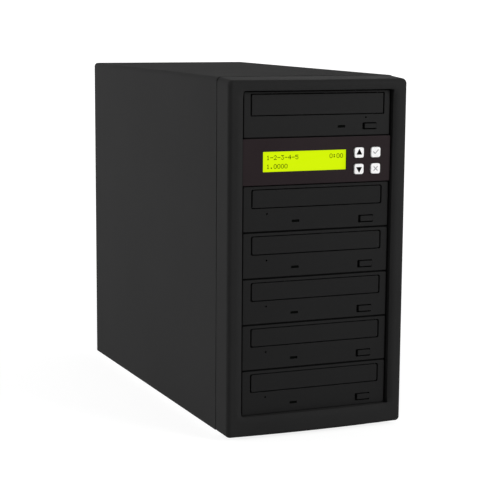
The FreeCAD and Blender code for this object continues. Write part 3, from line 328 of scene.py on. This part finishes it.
def finishMaterial(name, look):
    material, tree, shader = startMaterial(name)
    coords = addNode(tree, "ShaderNodeTexCoord").outputs["Object"]
    scales = {"Grain Scale": look["grain"], "Patch Scale": look["patch"]}
    grain = placeGroup(tree, grainGroup, coords, scales)
    color = mixColors(tree, grain.outputs["Patch"], look["color"], look["shade"])
    if look.get("wear"):
        width = look.get("wearWidth", common["wearWidth"]) * mm
        wear = placeGroup(tree, wearGroup, coords, {"Width": width, "Break Scale": edgeWear["breakScale"]})
        worn = scaleMask(tree, wear.outputs["Mask"], look["wear"])
        color = mixColors(tree, worn, color, look["wearColor"])
    if look.get("dust"):
        dust = placeGroup(tree, dustGroup, coords, {"Patch Scale": settledDust["patchScale"]})
        dusty = scaleMask(tree, dust.outputs["Mask"], look["dust"])
        color = mixColors(tree, dusty, color, common["dustColor"])
    tree.links.new(color, shader.inputs["Base Color"])
    polish = addNode(tree, "ShaderNodeMapRange")
    polish.inputs["To Min"].default_value = look["rough"] - look["roughSpread"]
    polish.inputs["To Max"].default_value = look["rough"] + look["roughSpread"]
    tree.links.new(grain.outputs["Patch"], polish.inputs["Value"])
    tree.links.new(polish.outputs["Result"], shader.inputs["Roughness"])
    bump = addNode(tree, "ShaderNodeBump")
    bump.inputs["Strength"].default_value = look["bump"]
    bump.inputs["Distance"].default_value = common["bumpDepth"] * mm
    tree.links.new(grain.outputs["Height"], bump.inputs["Height"])
    tree.links.new(bump.outputs["Normal"], shader.inputs["Normal"])
    shader.inputs["Metallic"].default_value = look.get("metal", 0.0)
    shader.inputs["Specular IOR Level"].default_value = look.get("gloss", common["gloss"])
    return material


looks = {
    "casePaint": {"color": (0.0256, 0.0256, 0.0257), "shade": (0.0286, 0.0286, 0.0287),
                  "grain": 1500, "patch": 9, "rough": 0.72, "roughSpread": 0.04, "bump": 0.35,
                  "gloss": 0.006, "wear": 0.35, "wearColor": (0.10, 0.10, 0.10), "dust": 0.02},
    "bezelPlastic": {"color": (0.0190, 0.0190, 0.0191), "shade": (0.0211, 0.0211, 0.0212),
                     "grain": 2600, "patch": 11, "rough": 0.62, "roughSpread": 0.05, "bump": 0.25,
                     "gloss": 0.0125, "wear": 0.2, "wearColor": (0.06, 0.06, 0.06), "dust": 0.02},
    "drivePlastic": {"color": (0.0100, 0.0100, 0.0101), "shade": (0.0116, 0.0116, 0.0117),
                     "grain": 2200, "patch": 16, "rough": 0.60, "roughSpread": 0.05, "bump": 0.22,
                     "gloss": 0.055, "wear": 0.25, "wearColor": (0.05, 0.05, 0.05)},
    "readerPlastic": {"color": (0.0114, 0.0114, 0.0115), "shade": (0.0130, 0.0130, 0.0131),
                      "grain": 2200, "patch": 14, "rough": 0.58, "roughSpread": 0.05, "bump": 0.20,
                      "gloss": 0.055, "wear": 0.25, "wearColor": (0.055, 0.055, 0.055)},
    "trayPlastic": {"color": (0.0140, 0.0140, 0.0145), "shade": (0.0170, 0.0170, 0.0175),
                    "grain": 1900, "patch": 18, "rough": 0.50, "roughSpread": 0.05, "bump": 0.25,
                    "gloss": 0.35, "wear": 0.25, "wearColor": (0.06, 0.06, 0.06)},
    "panelFilm": {"color": (0.0143, 0.0092, 0.0106), "shade": (0.0158, 0.0105, 0.0119),
                  "grain": 3000, "patch": 20, "rough": 0.40, "roughSpread": 0.04, "bump": 0.08,
                  "gloss": 0.06},
    "keyPlastic": {"color": (0.89, 0.89, 0.89), "shade": (0.85, 0.85, 0.85), "grain": 2600,
                   "patch": 60, "rough": 0.42, "roughSpread": 0.04, "bump": 0.06, "gloss": 0.4},
    "lampLens": {"color": (0.0012, 0.0016, 0.0012), "shade": (0.0018, 0.0022, 0.0018), "grain": 900,
                 "patch": 120, "rough": 0.30, "roughSpread": 0.03, "bump": 0.04, "gloss": 0.01},
    "zincSteel": {"color": (0.46, 0.47, 0.48), "shade": (0.56, 0.57, 0.58), "grain": 700,
                  "patch": 45, "rough": 0.40, "roughSpread": 0.08, "bump": 0.12, "metal": 1.0,
                  "wear": 0.3, "wearColor": (0.75, 0.75, 0.76)},
    # darkened steel for the front plate, cage and bracket seen through the slits: painted shade that keeps
    # the slits dark
    "darkSteel": {"color": (0.016, 0.016, 0.017), "shade": (0.022, 0.022, 0.023), "grain": 700,
                  "patch": 45, "rough": 0.60, "roughSpread": 0.06, "bump": 0.12, "gloss": 0.2},
    "screwZinc": {"color": (0.40, 0.40, 0.41), "shade": (0.52, 0.52, 0.53), "grain": 1400,
                  "patch": 90, "rough": 0.32, "roughSpread": 0.06, "bump": 0.10, "metal": 1.0,
                  "wear": 0.5, "wearColor": (0.75, 0.75, 0.75), "wearWidth": 0.4},
    "guardWire": {"color": (0.62, 0.63, 0.65), "shade": (0.70, 0.71, 0.73), "grain": 900,
                  "patch": 50, "rough": 0.20, "roughSpread": 0.05, "bump": 0.05, "metal": 1.0},
    "footRubber": {"color": (0.012, 0.012, 0.012), "shade": (0.020, 0.020, 0.019), "grain": 800,
                   "patch": 70, "rough": 0.80, "roughSpread": 0.08, "bump": 0.45, "gloss": 0.2,
                   "dust": 0.1},
    # near-black strips in the slits between the fronts: painted shade
    "sealFoam": {"color": (0.006, 0.006, 0.006), "shade": (0.010, 0.010, 0.010), "grain": 900,
                 "patch": 200, "rough": 0.90, "roughSpread": 0.05, "bump": 0.6, "gloss": 0.02},
    "blackPlastic": {"color": (0.014, 0.014, 0.014), "shade": (0.019, 0.019, 0.019), "grain": 1600,
                     "patch": 30, "rough": 0.48, "roughSpread": 0.06, "bump": 0.18, "gloss": 0.35,
                     "wear": 0.3, "wearColor": (0.07, 0.07, 0.07)},
    "boardGreen": {"color": (0.012, 0.060, 0.024), "shade": (0.018, 0.085, 0.034), "grain": 500,
                   "patch": 260, "rough": 0.36, "roughSpread": 0.08, "bump": 0.25, "gloss": 0.5},
    "mechanismGrey": {"color": (0.060, 0.062, 0.066), "shade": (0.090, 0.092, 0.096), "grain": 900,
                      "patch": 60, "rough": 0.45, "roughSpread": 0.08, "bump": 0.20, "gloss": 0.4,
                      "wear": 0.3, "wearColor": (0.2, 0.2, 0.2)},
    "leadJacket": {"color": (0.020, 0.020, 0.020), "shade": (0.16, 0.015, 0.012), "grain": 900,
                   "patch": 95, "rough": 0.50, "roughSpread": 0.05, "bump": 0.10, "gloss": 0.4},
    "keyInk": {"color": (0.002, 0.002, 0.002), "shade": (0.003, 0.003, 0.003), "grain": 2600,
               "patch": 300, "rough": 0.55, "roughSpread": 0.03, "bump": 0.05, "gloss": 0.01},
    "keyGreyInk": {"color": (0.22, 0.22, 0.23), "shade": (0.26, 0.26, 0.27), "grain": 2600,
                   "patch": 300, "rough": 0.55, "roughSpread": 0.03, "bump": 0.05, "gloss": 0.3},
    "readoutInk": {"color": (0.002, 0.003, 0.001), "shade": (0.003, 0.004, 0.001), "grain": 2600,
                   "patch": 300, "rough": 0.55, "roughSpread": 0.03, "bump": 0.03, "gloss": 0.01},
    "displaySeal": {"color": (0.030, 0.034, 0.012), "shade": (0.042, 0.048, 0.016), "grain": 1200,
                    "patch": 200, "rough": 0.25, "roughSpread": 0.04, "bump": 0.04, "gloss": 0.5},
    "markWhite": {"color": (0.62, 0.62, 0.62), "shade": (0.55, 0.55, 0.55), "grain": 2600,
                  "patch": 300, "rough": 0.55, "roughSpread": 0.04, "bump": 0.05, "gloss": 0.3},
    "contactMetal": {"color": (0.66, 0.62, 0.50), "shade": (0.74, 0.70, 0.58), "grain": 900,
                     "patch": 120, "rough": 0.26, "roughSpread": 0.06, "bump": 0.06, "metal": 1.0},
    "plainSticker": {"color": (0.46, 0.46, 0.45), "shade": (0.52, 0.52, 0.51), "grain": 1500,
                     "patch": 70, "rough": 0.40, "roughSpread": 0.05, "bump": 0.05, "gloss": 0.4},
}
finishes = {name: finishMaterial(name, look) for name, look in looks.items()}

glow = {"color": (0.66, 0.90, 0.002), "edge": (0.58, 0.81, 0.001), "strength": 0.95,
        "base": (0.04, 0.055, 0.001), "baseRise": 1.1, "grain": 4000.0, "patch": 160.0,
        "reach": 46.0, "fade": (0.8, 1.2), "rough": 0.4, "gloss": 0.004}


def makeDisplayGlow():        # back-lit cell, a little dimmer towards its ends
    material, tree, shader = startMaterial("displayGlow")
    coords = addNode(tree, "ShaderNodeTexCoord").outputs["Object"]
    low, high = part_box("lcd_glass")
    centre = (low + high) / 2
    far = glow["reach"] * mm
    place = addNode(tree, "ShaderNodeMapping")
    place.inputs["Location"].default_value = -centre / far
    place.inputs["Scale"].default_value = (1 / far,) * 3
    reach = addNode(tree, "ShaderNodeVectorMath", operation="LENGTH")
    fade = addRange(tree, glow["fade"])
    tree.links.new(coords, place.inputs["Vector"])
    tree.links.new(place.outputs["Vector"], reach.inputs[0])
    tree.links.new(reach.outputs["Value"], fade.inputs["Value"])
    color = mixColors(tree, fade.outputs["Result"], glow["color"], glow["edge"])
    scales = {"Grain Scale": glow["grain"], "Patch Scale": glow["patch"]}
    grain = placeGroup(tree, grainGroup, coords, scales)
    raised = tuple(glow["baseRise"] * part for part in glow["base"])
    base = mixColors(tree, grain.outputs["Patch"], glow["base"], raised)
    tree.links.new(base, shader.inputs["Base Color"])
    tree.links.new(color, shader.inputs["Emission Color"])
    shader.inputs["Emission Strength"].default_value = glow["strength"]
    shader.inputs["Roughness"].default_value = glow["rough"]
    shader.inputs["Specular IOR Level"].default_value = glow["gloss"]
    return material


finishes["displayGlow"] = makeDisplayGlow()
print("materials made:", len(finishes))

# Finish of each carried-over node
nodeFinish = {
    "case_cover": "casePaint", "base_pan": "zincSteel", "rear_panel": "zincSteel",
    # front plate, drive cage and panel bracket are darkened as painted shade in the slits
    "front_bezel": "bezelPlastic", "front_plate": "darkSteel", "drive_cage": "darkSteel",
    "drive_shells": "zincSteel", "psu_case": "zincSteel", "panel_bracket": "darkSteel",
    "lcd_module": "zincSteel", "panel_faceplate": "panelFilm", "lcd_glass": "displayGlow",
    "case_screws": "screwZinc", "drive_screws": "screwZinc", "fan_guards": "guardWire",
    "rubber_feet": "footRubber", "fan_frames": "blackPlastic", "exhaust_fan_rotor": "blackPlastic",
    "psu_fan_rotor": "blackPlastic", "power_inlet": "blackPlastic",
    "power_switch_frame": "blackPlastic", "power_rocker": "blackPlastic",
    "circuit_boards": "boardGreen", "drive_mechanisms": "mechanismGrey", "lamp_windows": "lampLens",
    "wiring": "leadJacket",
}
for name in driveNames:
    for ending in ("_front", "_tray_door", "_eject_button"):
        nodeFinish[name + ending] = "readerPlastic" if name == "reader" else "drivePlastic"
    nodeFinish[name + "_tray"] = "trayPlastic"
    nodeFinish[name + "_spindle"] = "mechanismGrey"
for key in ("key_up", "key_down", "key_enter", "key_escape"):
    nodeFinish[key] = "keyPlastic"
for name, node in nodes.items():
    node.data.materials.clear()
    node.data.materials.append(finishes[nodeFinish[name]])
print("nodes finished")

# Display cell behind the panel's window
cell = {"setBack": 0.15, "rim": 1.4, "sheet": 0.15, "corner": 0.5}


def makeDisplayCell():
    low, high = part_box("lcd_glass")
    piece = addBlock("displayCell", (low.x, low.y + cell["setBack"] * mm, low.z), high)
    bevelEdges(piece, lambda e: abs(edgeWay(e).y) > along, cell["corner"] * mm, 2)
    chooseFaces(piece, lambda f: f.normal.y < -along)
    bpy.ops.mesh.inset(thickness=cell["rim"] * mm, depth=0)
    pushChosen((0, -cell["sheet"] * mm, 0))
    deselectAll()
    settlePiece(piece, "case", [finishes["displaySeal"], finishes["displayGlow"]])
    for face in piece.data.polygons:
        if face.normal.y < -along and face.center.y < low.y + hair:
            face.material_index = 1
    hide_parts("lcd_glass")


# Dots of the readout, five by seven to a character
glyphs = {
    "0": (".###.", "#...#", "#...#", "#...#", "#...#", "#...#", ".###."),
    "1": ("..#..", ".##..", "..#..", "..#..", "..#..", "..#..", ".###."),
    "2": (".###.", "#...#", "....#", "...#.", "..#..", ".#...", "#####"),
    "3": ("#####", "...#.", "..#..", "...#.", "....#", "#...#", ".###."),
    "4": ("...#.", "..##.", ".#.#.", "#..#.", "#####", "...#.", "...#."),
    "5": ("#####", "#....", "####.", "....#", "....#", "#...#", ".###."),
    "-": (".....", ".....", ".....", "#####", ".....", ".....", "....."),
    ".": (".....", ".....", ".....", ".....", ".....", ".##..", ".##.."),
    ":": (".....", ".##..", ".##..", ".....", ".##..", ".##..", "....."),
}
readout = {"dot": 0.58, "pitchX": 0.60, "pitchZ": 0.58, "character": 3.6, "thick": 0.03,
           "marginX": 4.0, "marginZ": 2.6,
           "lines": (("1-2-3-4-5", 5.0, 4.0), ("0:00", 68.7, 4.0), ("1.0000", 5.0, 12.1))}


def makeReadout():
    low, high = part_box("lcd_glass")
    windowLeft = low.x + readout["marginX"] * mm
    windowTop = high.z - readout["marginZ"] * mm
    dot = addSquare("readoutDot", readout["dot"] * mm)
    turnAndPlace(dot, (math.radians(90), 0, 0), (0, low.y, 0))
    closeSheet(dot, (0, -readout["thick"] * mm, 0))
    dots = []
    for words, left, top in readout["lines"]:
        for place, letter in enumerate(words):
            for row, marks in enumerate(glyphs[letter]):
                for column, mark in enumerate(marks):
                    if mark == "#":
                        x = left + place * readout["character"] + column * readout["pitchX"]
                        z = top + row * readout["pitchZ"]
                        spot = (windowLeft + x * mm, 0, windowTop - z * mm)
                        dots.append(copyPiece(dot, "readoutDot", spot))
    bpy.data.objects.remove(dot)
    piece = joinPieces(dots, "displayReadout")
    settlePiece(piece, "case", [finishes["readoutInk"]])


# Marks printed on the keys
keyMark = {"width": 6.1, "height": 5.5, "long": 5.4, "short": 3.0, "cross": 5.8, "stroke": 0.8,
           "slant": 45, "tickShift": (-0.8, 0, -1.2), "proud": 0.04}


def startStroke(name):        # a square of one stroke's width, facing the front
    piece = addSquare(name, keyMark["stroke"] * mm)
    turnAndPlace(piece, (math.radians(90), 0, 0), (0, 0, 0))
    return piece


def makeArrow(name, turn):        # a triangle of radius 1 is the root of 3 wide and 1.5 high
    piece = addDisc(name, 3, mm)
    piece.scale = (keyMark["width"] / math.sqrt(3), keyMark["height"] / 1.5, 1)
    turnAndPlace(piece, (math.radians(90), turn, 0), (0, 0, 0))
    return piece


def pushStroke(piece, way, length):        # draws a stroke out of the square's edge that faces this way
    way = Vector(way)
    edgePlace = way * keyMark["stroke"] / 2 * mm
    pushEdges(piece, lambda e: (edgeMiddle(e) - edgePlace).length < hair, way * length * mm)


def makeTick(name):
    piece = startStroke(name)
    pushStroke(piece, (0, 0, 1), keyMark["long"] - keyMark["stroke"])
    pushStroke(piece, (-1, 0, 0), keyMark["short"] - keyMark["stroke"])
    turnAndPlace(piece, (0, math.radians(keyMark["slant"]), 0), Vector(keyMark["tickShift"]) * mm)
    return piece


def makeCross(name):
    piece = startStroke(name)
    for way in ((1, 0, 0), (-1, 0, 0), (0, 0, 1), (0, 0, -1)):
        pushStroke(piece, way, (keyMark["cross"] - keyMark["stroke"]) / 2)
    turnAndPlace(piece, (0, math.radians(keyMark["slant"]), 0), (0, 0, 0))
    return piece


def makeKeyMarks():
    marks = {"key_up": (makeArrow("upMark", 0), "keyInk"),
             "key_down": (makeArrow("downMark", math.radians(180)), "keyInk"),
             "key_enter": (makeTick("enterMark"), "keyGreyInk"),
             "key_escape": (makeCross("escapeMark"), "keyGreyInk")}
    for key, (piece, ink) in marks.items():
        low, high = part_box(key)
        turnAndPlace(piece, (0, 0, 0), ((low.x + high.x) / 2, low.y, (low.z + high.z) / 2))
        closeSheet(piece, (0, -keyMark["proud"] * mm, 0))
        settlePiece(piece, key, [finishes[ink]])


# Near-black strips behind the slits between the fronts, a dark sheet standing in for the shade in the slits
# and keeping stray light out
slitShade = {"setBack": 3.0, "depth": 2.5, "past": 1.0, "gap": 0.05, "round": 0.3}


def makeSlitShadeStrips():        # made on top of the first writer's front and copied to the other slits
    low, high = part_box("writer_1_front")
    gap = slitShade["gap"] * mm
    height = low.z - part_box("writer_2_front")[1].z - 2 * gap
    front, foot = low.y + slitShade["setBack"] * mm, high.z + gap
    strip = addBlock("frontSeal", (low.x - slitShade["past"] * mm, front, foot),
                     (high.x + slitShade["past"] * mm, front + slitShade["depth"] * mm, foot + height))
    bevelEdges(strip, lambda e: abs(edgeWay(e).x) > along, slitShade["round"] * mm, 3)
    smoothPiece(strip)
    rises = [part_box(name + "_front")[1].z - high.z for name in driveNames[2:]]
    rises.append(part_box("reader_front")[0].z - gap - height - foot)
    strips = [strip] + [copyPiece(strip, "frontSeal", (0, 0, rise)) for rise in rises]
    piece = joinPieces(strips, "frontSeals")
    settlePiece(piece, "case", [finishes["sealFoam"]])


makeDisplayCell()
makeReadout()
makeKeyMarks()
makeSlitShadeStrips()
print("display, key marks and shadeStrips made")

# Mains inlet on the back, and its three blades, measured from the middle of the flange's inner face
inlet = {"thick": 2.0, "rim": 2.0, "corner": 2.0, "lip": 0.5, "mouth": (12.2, 8.4), "mouthFrom": -17.0,
         "mouthTo": 5.0, "cut": 4.0, "blade": (2.0, 4.0), "bladeFrom": -18.0, "bladeTo": -2.5,
         "bladeTip": 0.7, "bladeEdge": 0.15, "blades": ((0, 2.2), (-7, -1.8), (7, -1.8))}


def addInletBlock(name, middle, size, start, end):        # a block around the inlet's axis
    x, z = size
    return addBlock(name, middle + Vector((-x, start, -z)) * mm, middle + Vector((x, end, z)) * mm)


def makeInletShell(low, high, middle):
    shell = addBlock("inletShell", (low.x, middle.y, low.z), high)
    chooseFaces(shell, lambda f: f.normal.y < -along)
    bpy.ops.mesh.inset(thickness=inlet["rim"] * mm, depth=0)
    pushChosen((0, low.y - middle.y, 0))
    deselectAll()
    bevelEdges(shell, lambda e: abs(edgeWay(e).y) > along and edgeMiddle(e).y > middle.y,
               inlet["corner"] * mm, 5)
    bevelEdges(shell, lambda e: abs(edgeWay(e).y) < along and edgeMiddle(e).y > high.y - hair,
               inlet["lip"] * mm, 3)
    mouth = addInletBlock("inletMouth", middle, inlet["mouth"], inlet["mouthFrom"], inlet["mouthTo"])
    bevelEdges(mouth, lambda e: abs(edgeWay(e).y) > along and edgeMiddle(e).z > middle.z,
               inlet["cut"] * mm, 1)
    makeActive(shell)
    carve = shell.modifiers.new("mouth", "BOOLEAN")
    carve.object = mouth
    carve.operation = "DIFFERENCE"
    bpy.ops.object.modifier_apply(modifier="mouth")
    bpy.data.objects.remove(mouth)
    smoothPiece(shell)
    settlePiece(shell, "case", [finishes["blackPlastic"]])
    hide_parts("power_inlet")


def makeInletBlades(middle):
    size = Vector(inlet["blade"]) / 2
    blade = addInletBlock("inletBlade", middle, size, inlet["bladeFrom"], inlet["bladeTo"])
    tip = middle.y + inlet["bladeTo"] * mm
    bevelEdges(blade, lambda e: edgeMiddle(e).y > tip - hair, inlet["bladeTip"] * mm, 4)
    bevelEdges(blade, lambda e: abs(edgeWay(e).y) > along, inlet["bladeEdge"] * mm, 2)
    copies = [copyPiece(blade, "inletBlade", Vector((x, 0, z)) * mm) for x, z in inlet["blades"]]
    bpy.data.objects.remove(blade)
    blades = joinPieces(copies, "inletBlades")
    smoothPiece(blades)
    settlePiece(blades, "case", [finishes["contactMetal"]])


def makeInlet():
    low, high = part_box("power_inlet")
    middle = (low + high) / 2
    middle.y = high.y - inlet["thick"] * mm
    makeInletShell(low, high, middle)
    makeInletBlades(middle)


# Bar and ring on the power rocker
rocker = {"tilt": -9.0, "slope": 11.8, "crest": 6.6, "shoulder": 5.2, "tip": 6.7, "bar": (0.7, 3.0),
          "barCorner": 0.15, "ring": 1.5, "ringWidth": 0.5, "ringSides": 40, "proud": 0.05}


def placeOnRocker(piece, side):        # side 1 is the upper half, -1 the lower
    tilt = Matrix.Rotation(math.radians(rocker["tilt"]), 3, "X")
    middle = Vector((0, (rocker["crest"] + rocker["shoulder"]) / 2, side * rocker["tip"] / 2))
    turn = rocker["tilt"] + side * rocker["slope"]
    turnAndPlace(piece, (math.radians(turn), 0, 0), pivots["power_rocker_tilt"] + tilt @ middle * mm)
    settlePiece(piece, "rocker", [finishes["markWhite"]])


def makeRockerMarks():
    barX, barZ = rocker["bar"]
    bar = addBlock("rockerBar", Vector((-barX / 2, -rocker["proud"], -barZ / 2)) * mm,
                   Vector((barX / 2, rocker["proud"], barZ / 2)) * mm)
    bevelEdges(bar, lambda e: abs(edgeWay(e).y) > along, rocker["barCorner"] * mm, 2)
    placeOnRocker(bar, 1)
    ring = addDisc("rockerRing", rocker["ringSides"], rocker["ring"] * mm)
    turnAndPlace(ring, (math.radians(-90), 0, 0), (0, 0, 0))
    chooseFaces(ring, lambda f: True)
    bpy.ops.mesh.inset(thickness=rocker["ringWidth"] * mm, depth=0)
    bpy.ops.mesh.delete(type="FACE")
    closeSheet(ring, (0, rocker["proud"] * mm, 0))
    placeOnRocker(ring, -1)


# Plain round stickers on the fan hubs
sticker = {"radius": {"exhaust_fan": 15.0, "psu_fan": 11.5}, "sides": 64, "thick": 0.12, "band": 2.2,
           "dish": 0.05}


def makeHubSticker(body, radius):
    piece = addDisc(body + "_sticker", sticker["sides"], radius * mm)
    place = pivots[body + "_spin"].copy()
    place.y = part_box(body + "_rotor")[1].y
    turnAndPlace(piece, (math.radians(-90), 0, 0), place)
    closeSheet(piece, (0, sticker["thick"] * mm, 0))
    chooseFaces(piece, lambda f: f.normal.y > along)
    bpy.ops.mesh.inset(thickness=sticker["band"] * mm, depth=0)
    bpy.ops.mesh.inset(thickness=sticker["dish"] * mm, depth=0)
    pushChosen((0, -sticker["dish"] * mm, 0))
    deselectAll()
    settlePiece(piece, body, [finishes["plainSticker"]])


makeInlet()
makeRockerMarks()
for body, radius in sticker["radius"].items():
    makeHubSticker(body, radius)
print("back details made")


# Floor sweep, lamps and camera
def shownRays(tree):        # 1 where the background is seen, mirrored or looked through
    path = addNode(tree, "ShaderNodeLightPath")
    seen = addNode(tree, "ShaderNodeMath", operation="ADD", use_clamp=True)
    shown = addNode(tree, "ShaderNodeMath", operation="ADD", use_clamp=True)
    tree.links.new(path.outputs["Is Camera Ray"], seen.inputs[0])
    tree.links.new(path.outputs["Is Glossy Ray"], seen.inputs[1])
    tree.links.new(seen.outputs["Value"], shown.inputs[0])
    tree.links.new(path.outputs["Is Transmission Ray"], shown.inputs[1])
    return shown.outputs["Value"]


studio = {"width": 7.0, "front": -3.2, "back": 2.6, "height": 2.6, "sweep": 0.9, "smooth": 60, "near": 0.01,
          "paper": 0.86, "pale": 0.30, "shine": 0.85, "fade": (0.5, 1.6)}


def makeFloor():
    floor = addSquare("studioFloor", 1)
    floor.scale = (studio["width"], studio["back"] - studio["front"], 1)
    turnAndPlace(floor, (0, 0, 0), (0, (studio["front"] + studio["back"]) / 2, 0))
    corner = Vector((0, studio["back"], 0))
    pushEdges(floor, lambda e: edgeMiddle(e).y > studio["back"] - studio["near"], (0, 0, studio["height"]))
    bevelEdges(floor, lambda e: (edgeMiddle(e) - corner).length < studio["near"], studio["sweep"], 16)
    smoothPiece(floor, studio["smooth"])
    material, tree, shader = startMaterial("floorPaper")
    tree.nodes.remove(shader)
    output = tree.nodes["Material Output"]
    paper = addNode(tree, "ShaderNodeBsdfDiffuse")
    paper.inputs["Color"].default_value = (studio["paper"],) * 3 + (1,)
    pale = addNode(tree, "ShaderNodeBsdfDiffuse")
    pale.inputs["Color"].default_value = (studio["pale"],) * 3 + (1,)
    shine = addNode(tree, "ShaderNodeEmission")
    reach = addNode(tree, "ShaderNodeVectorMath", operation="LENGTH")
    fade = addRange(tree, studio["fade"])        # white again away from the shadow
    fade.inputs["To Min"].default_value = studio["shine"]
    tree.links.new(addNode(tree, "ShaderNodeTexCoord").outputs["Object"], reach.inputs[0])
    tree.links.new(reach.outputs["Value"], fade.inputs["Value"])
    tree.links.new(fade.outputs["Result"], shine.inputs["Strength"])
    white = addNode(tree, "ShaderNodeAddShader")
    choose = addNode(tree, "ShaderNodeMixShader")
    tree.links.new(pale.outputs[0], white.inputs[0])
    tree.links.new(shine.outputs[0], white.inputs[1])
    tree.links.new(shownRays(tree), choose.inputs[0])
    tree.links.new(paper.outputs[0], choose.inputs[1])
    tree.links.new(white.outputs[0], choose.inputs[2])
    tree.links.new(choose.outputs[0], output.inputs["Surface"])
    floor.data.materials.append(material)


lamps = {
    "leftSoftbox": {"at": (-1.9, 1.0, 0.6), "size": (1.5, 1.3), "watts": 41.5},
    "rightSoftbox": {"at": (1.45, -1.95, 1.1), "size": (1.2, 1.2), "watts": 49},
    "topSoftbox": {"at": (0.0, 0.0, 2.2), "size": (1.6, 1.6), "watts": 3.5},
}
lampAim = Vector((0, 0, 0.16))


def makeLamps():
    for name, lamp in lamps.items():
        data = bpy.data.lights.new(name, "AREA")
        data.shape = "RECTANGLE"
        data.size, data.size_y = lamp["size"]
        data.energy = lamp["watts"]
        light = bpy.data.objects.new(name, data)
        bpy.context.scene.collection.objects.link(light)
        light.location = lamp["at"]
        light.rotation_euler = (lampAim - light.location).to_track_quat("-Z", "Y").to_euler()


air = {"fill": 0.2, "shown": 1.0}


def makeWorld():
    world = bpy.data.worlds.new("studioAir")
    bpy.context.scene.world = world
    world.use_nodes = True
    tree = world.node_tree
    sky = tree.nodes["Background"]
    sky.inputs["Color"].default_value = (1, 1, 1, 1)
    level = addNode(tree, "ShaderNodeMapRange")
    level.inputs["To Min"].default_value = air["fill"]
    level.inputs["To Max"].default_value = air["shown"]
    tree.links.new(shownRays(tree), level.inputs["Value"])
    tree.links.new(level.outputs["Result"], sky.inputs["Strength"])


view = {"at": (-0.612835, -1.481771, 0.395026), "forward": (0.38769859, 0.9072676, -0.16295798),
        "right": (0.92002654, -0.39178195, 0.00762114), "lens": 111.18, "sensor": 36,
        "shift": (-0.00582, 0.03075)}


def makeCamera():
    data = bpy.data.cameras.new("photoCamera")
    data.sensor_width = view["sensor"]
    data.lens = view["lens"]
    data.shift_x, data.shift_y = view["shift"]
    camera = bpy.data.objects.new("photoCamera", data)
    bpy.context.scene.collection.objects.link(camera)
    right, back = Vector(view["right"]), -Vector(view["forward"])
    up = back.cross(right)
    turn = Matrix((right, up, back)).transposed().to_4x4()
    camera.matrix_world = Matrix.Translation(view["at"]) @ turn
    bpy.context.scene.camera = camera


makeFloor()
makeLamps()
makeWorld()
makeCamera()
bpy.context.scene.view_settings.view_transform = "Standard"
print("studio ready")
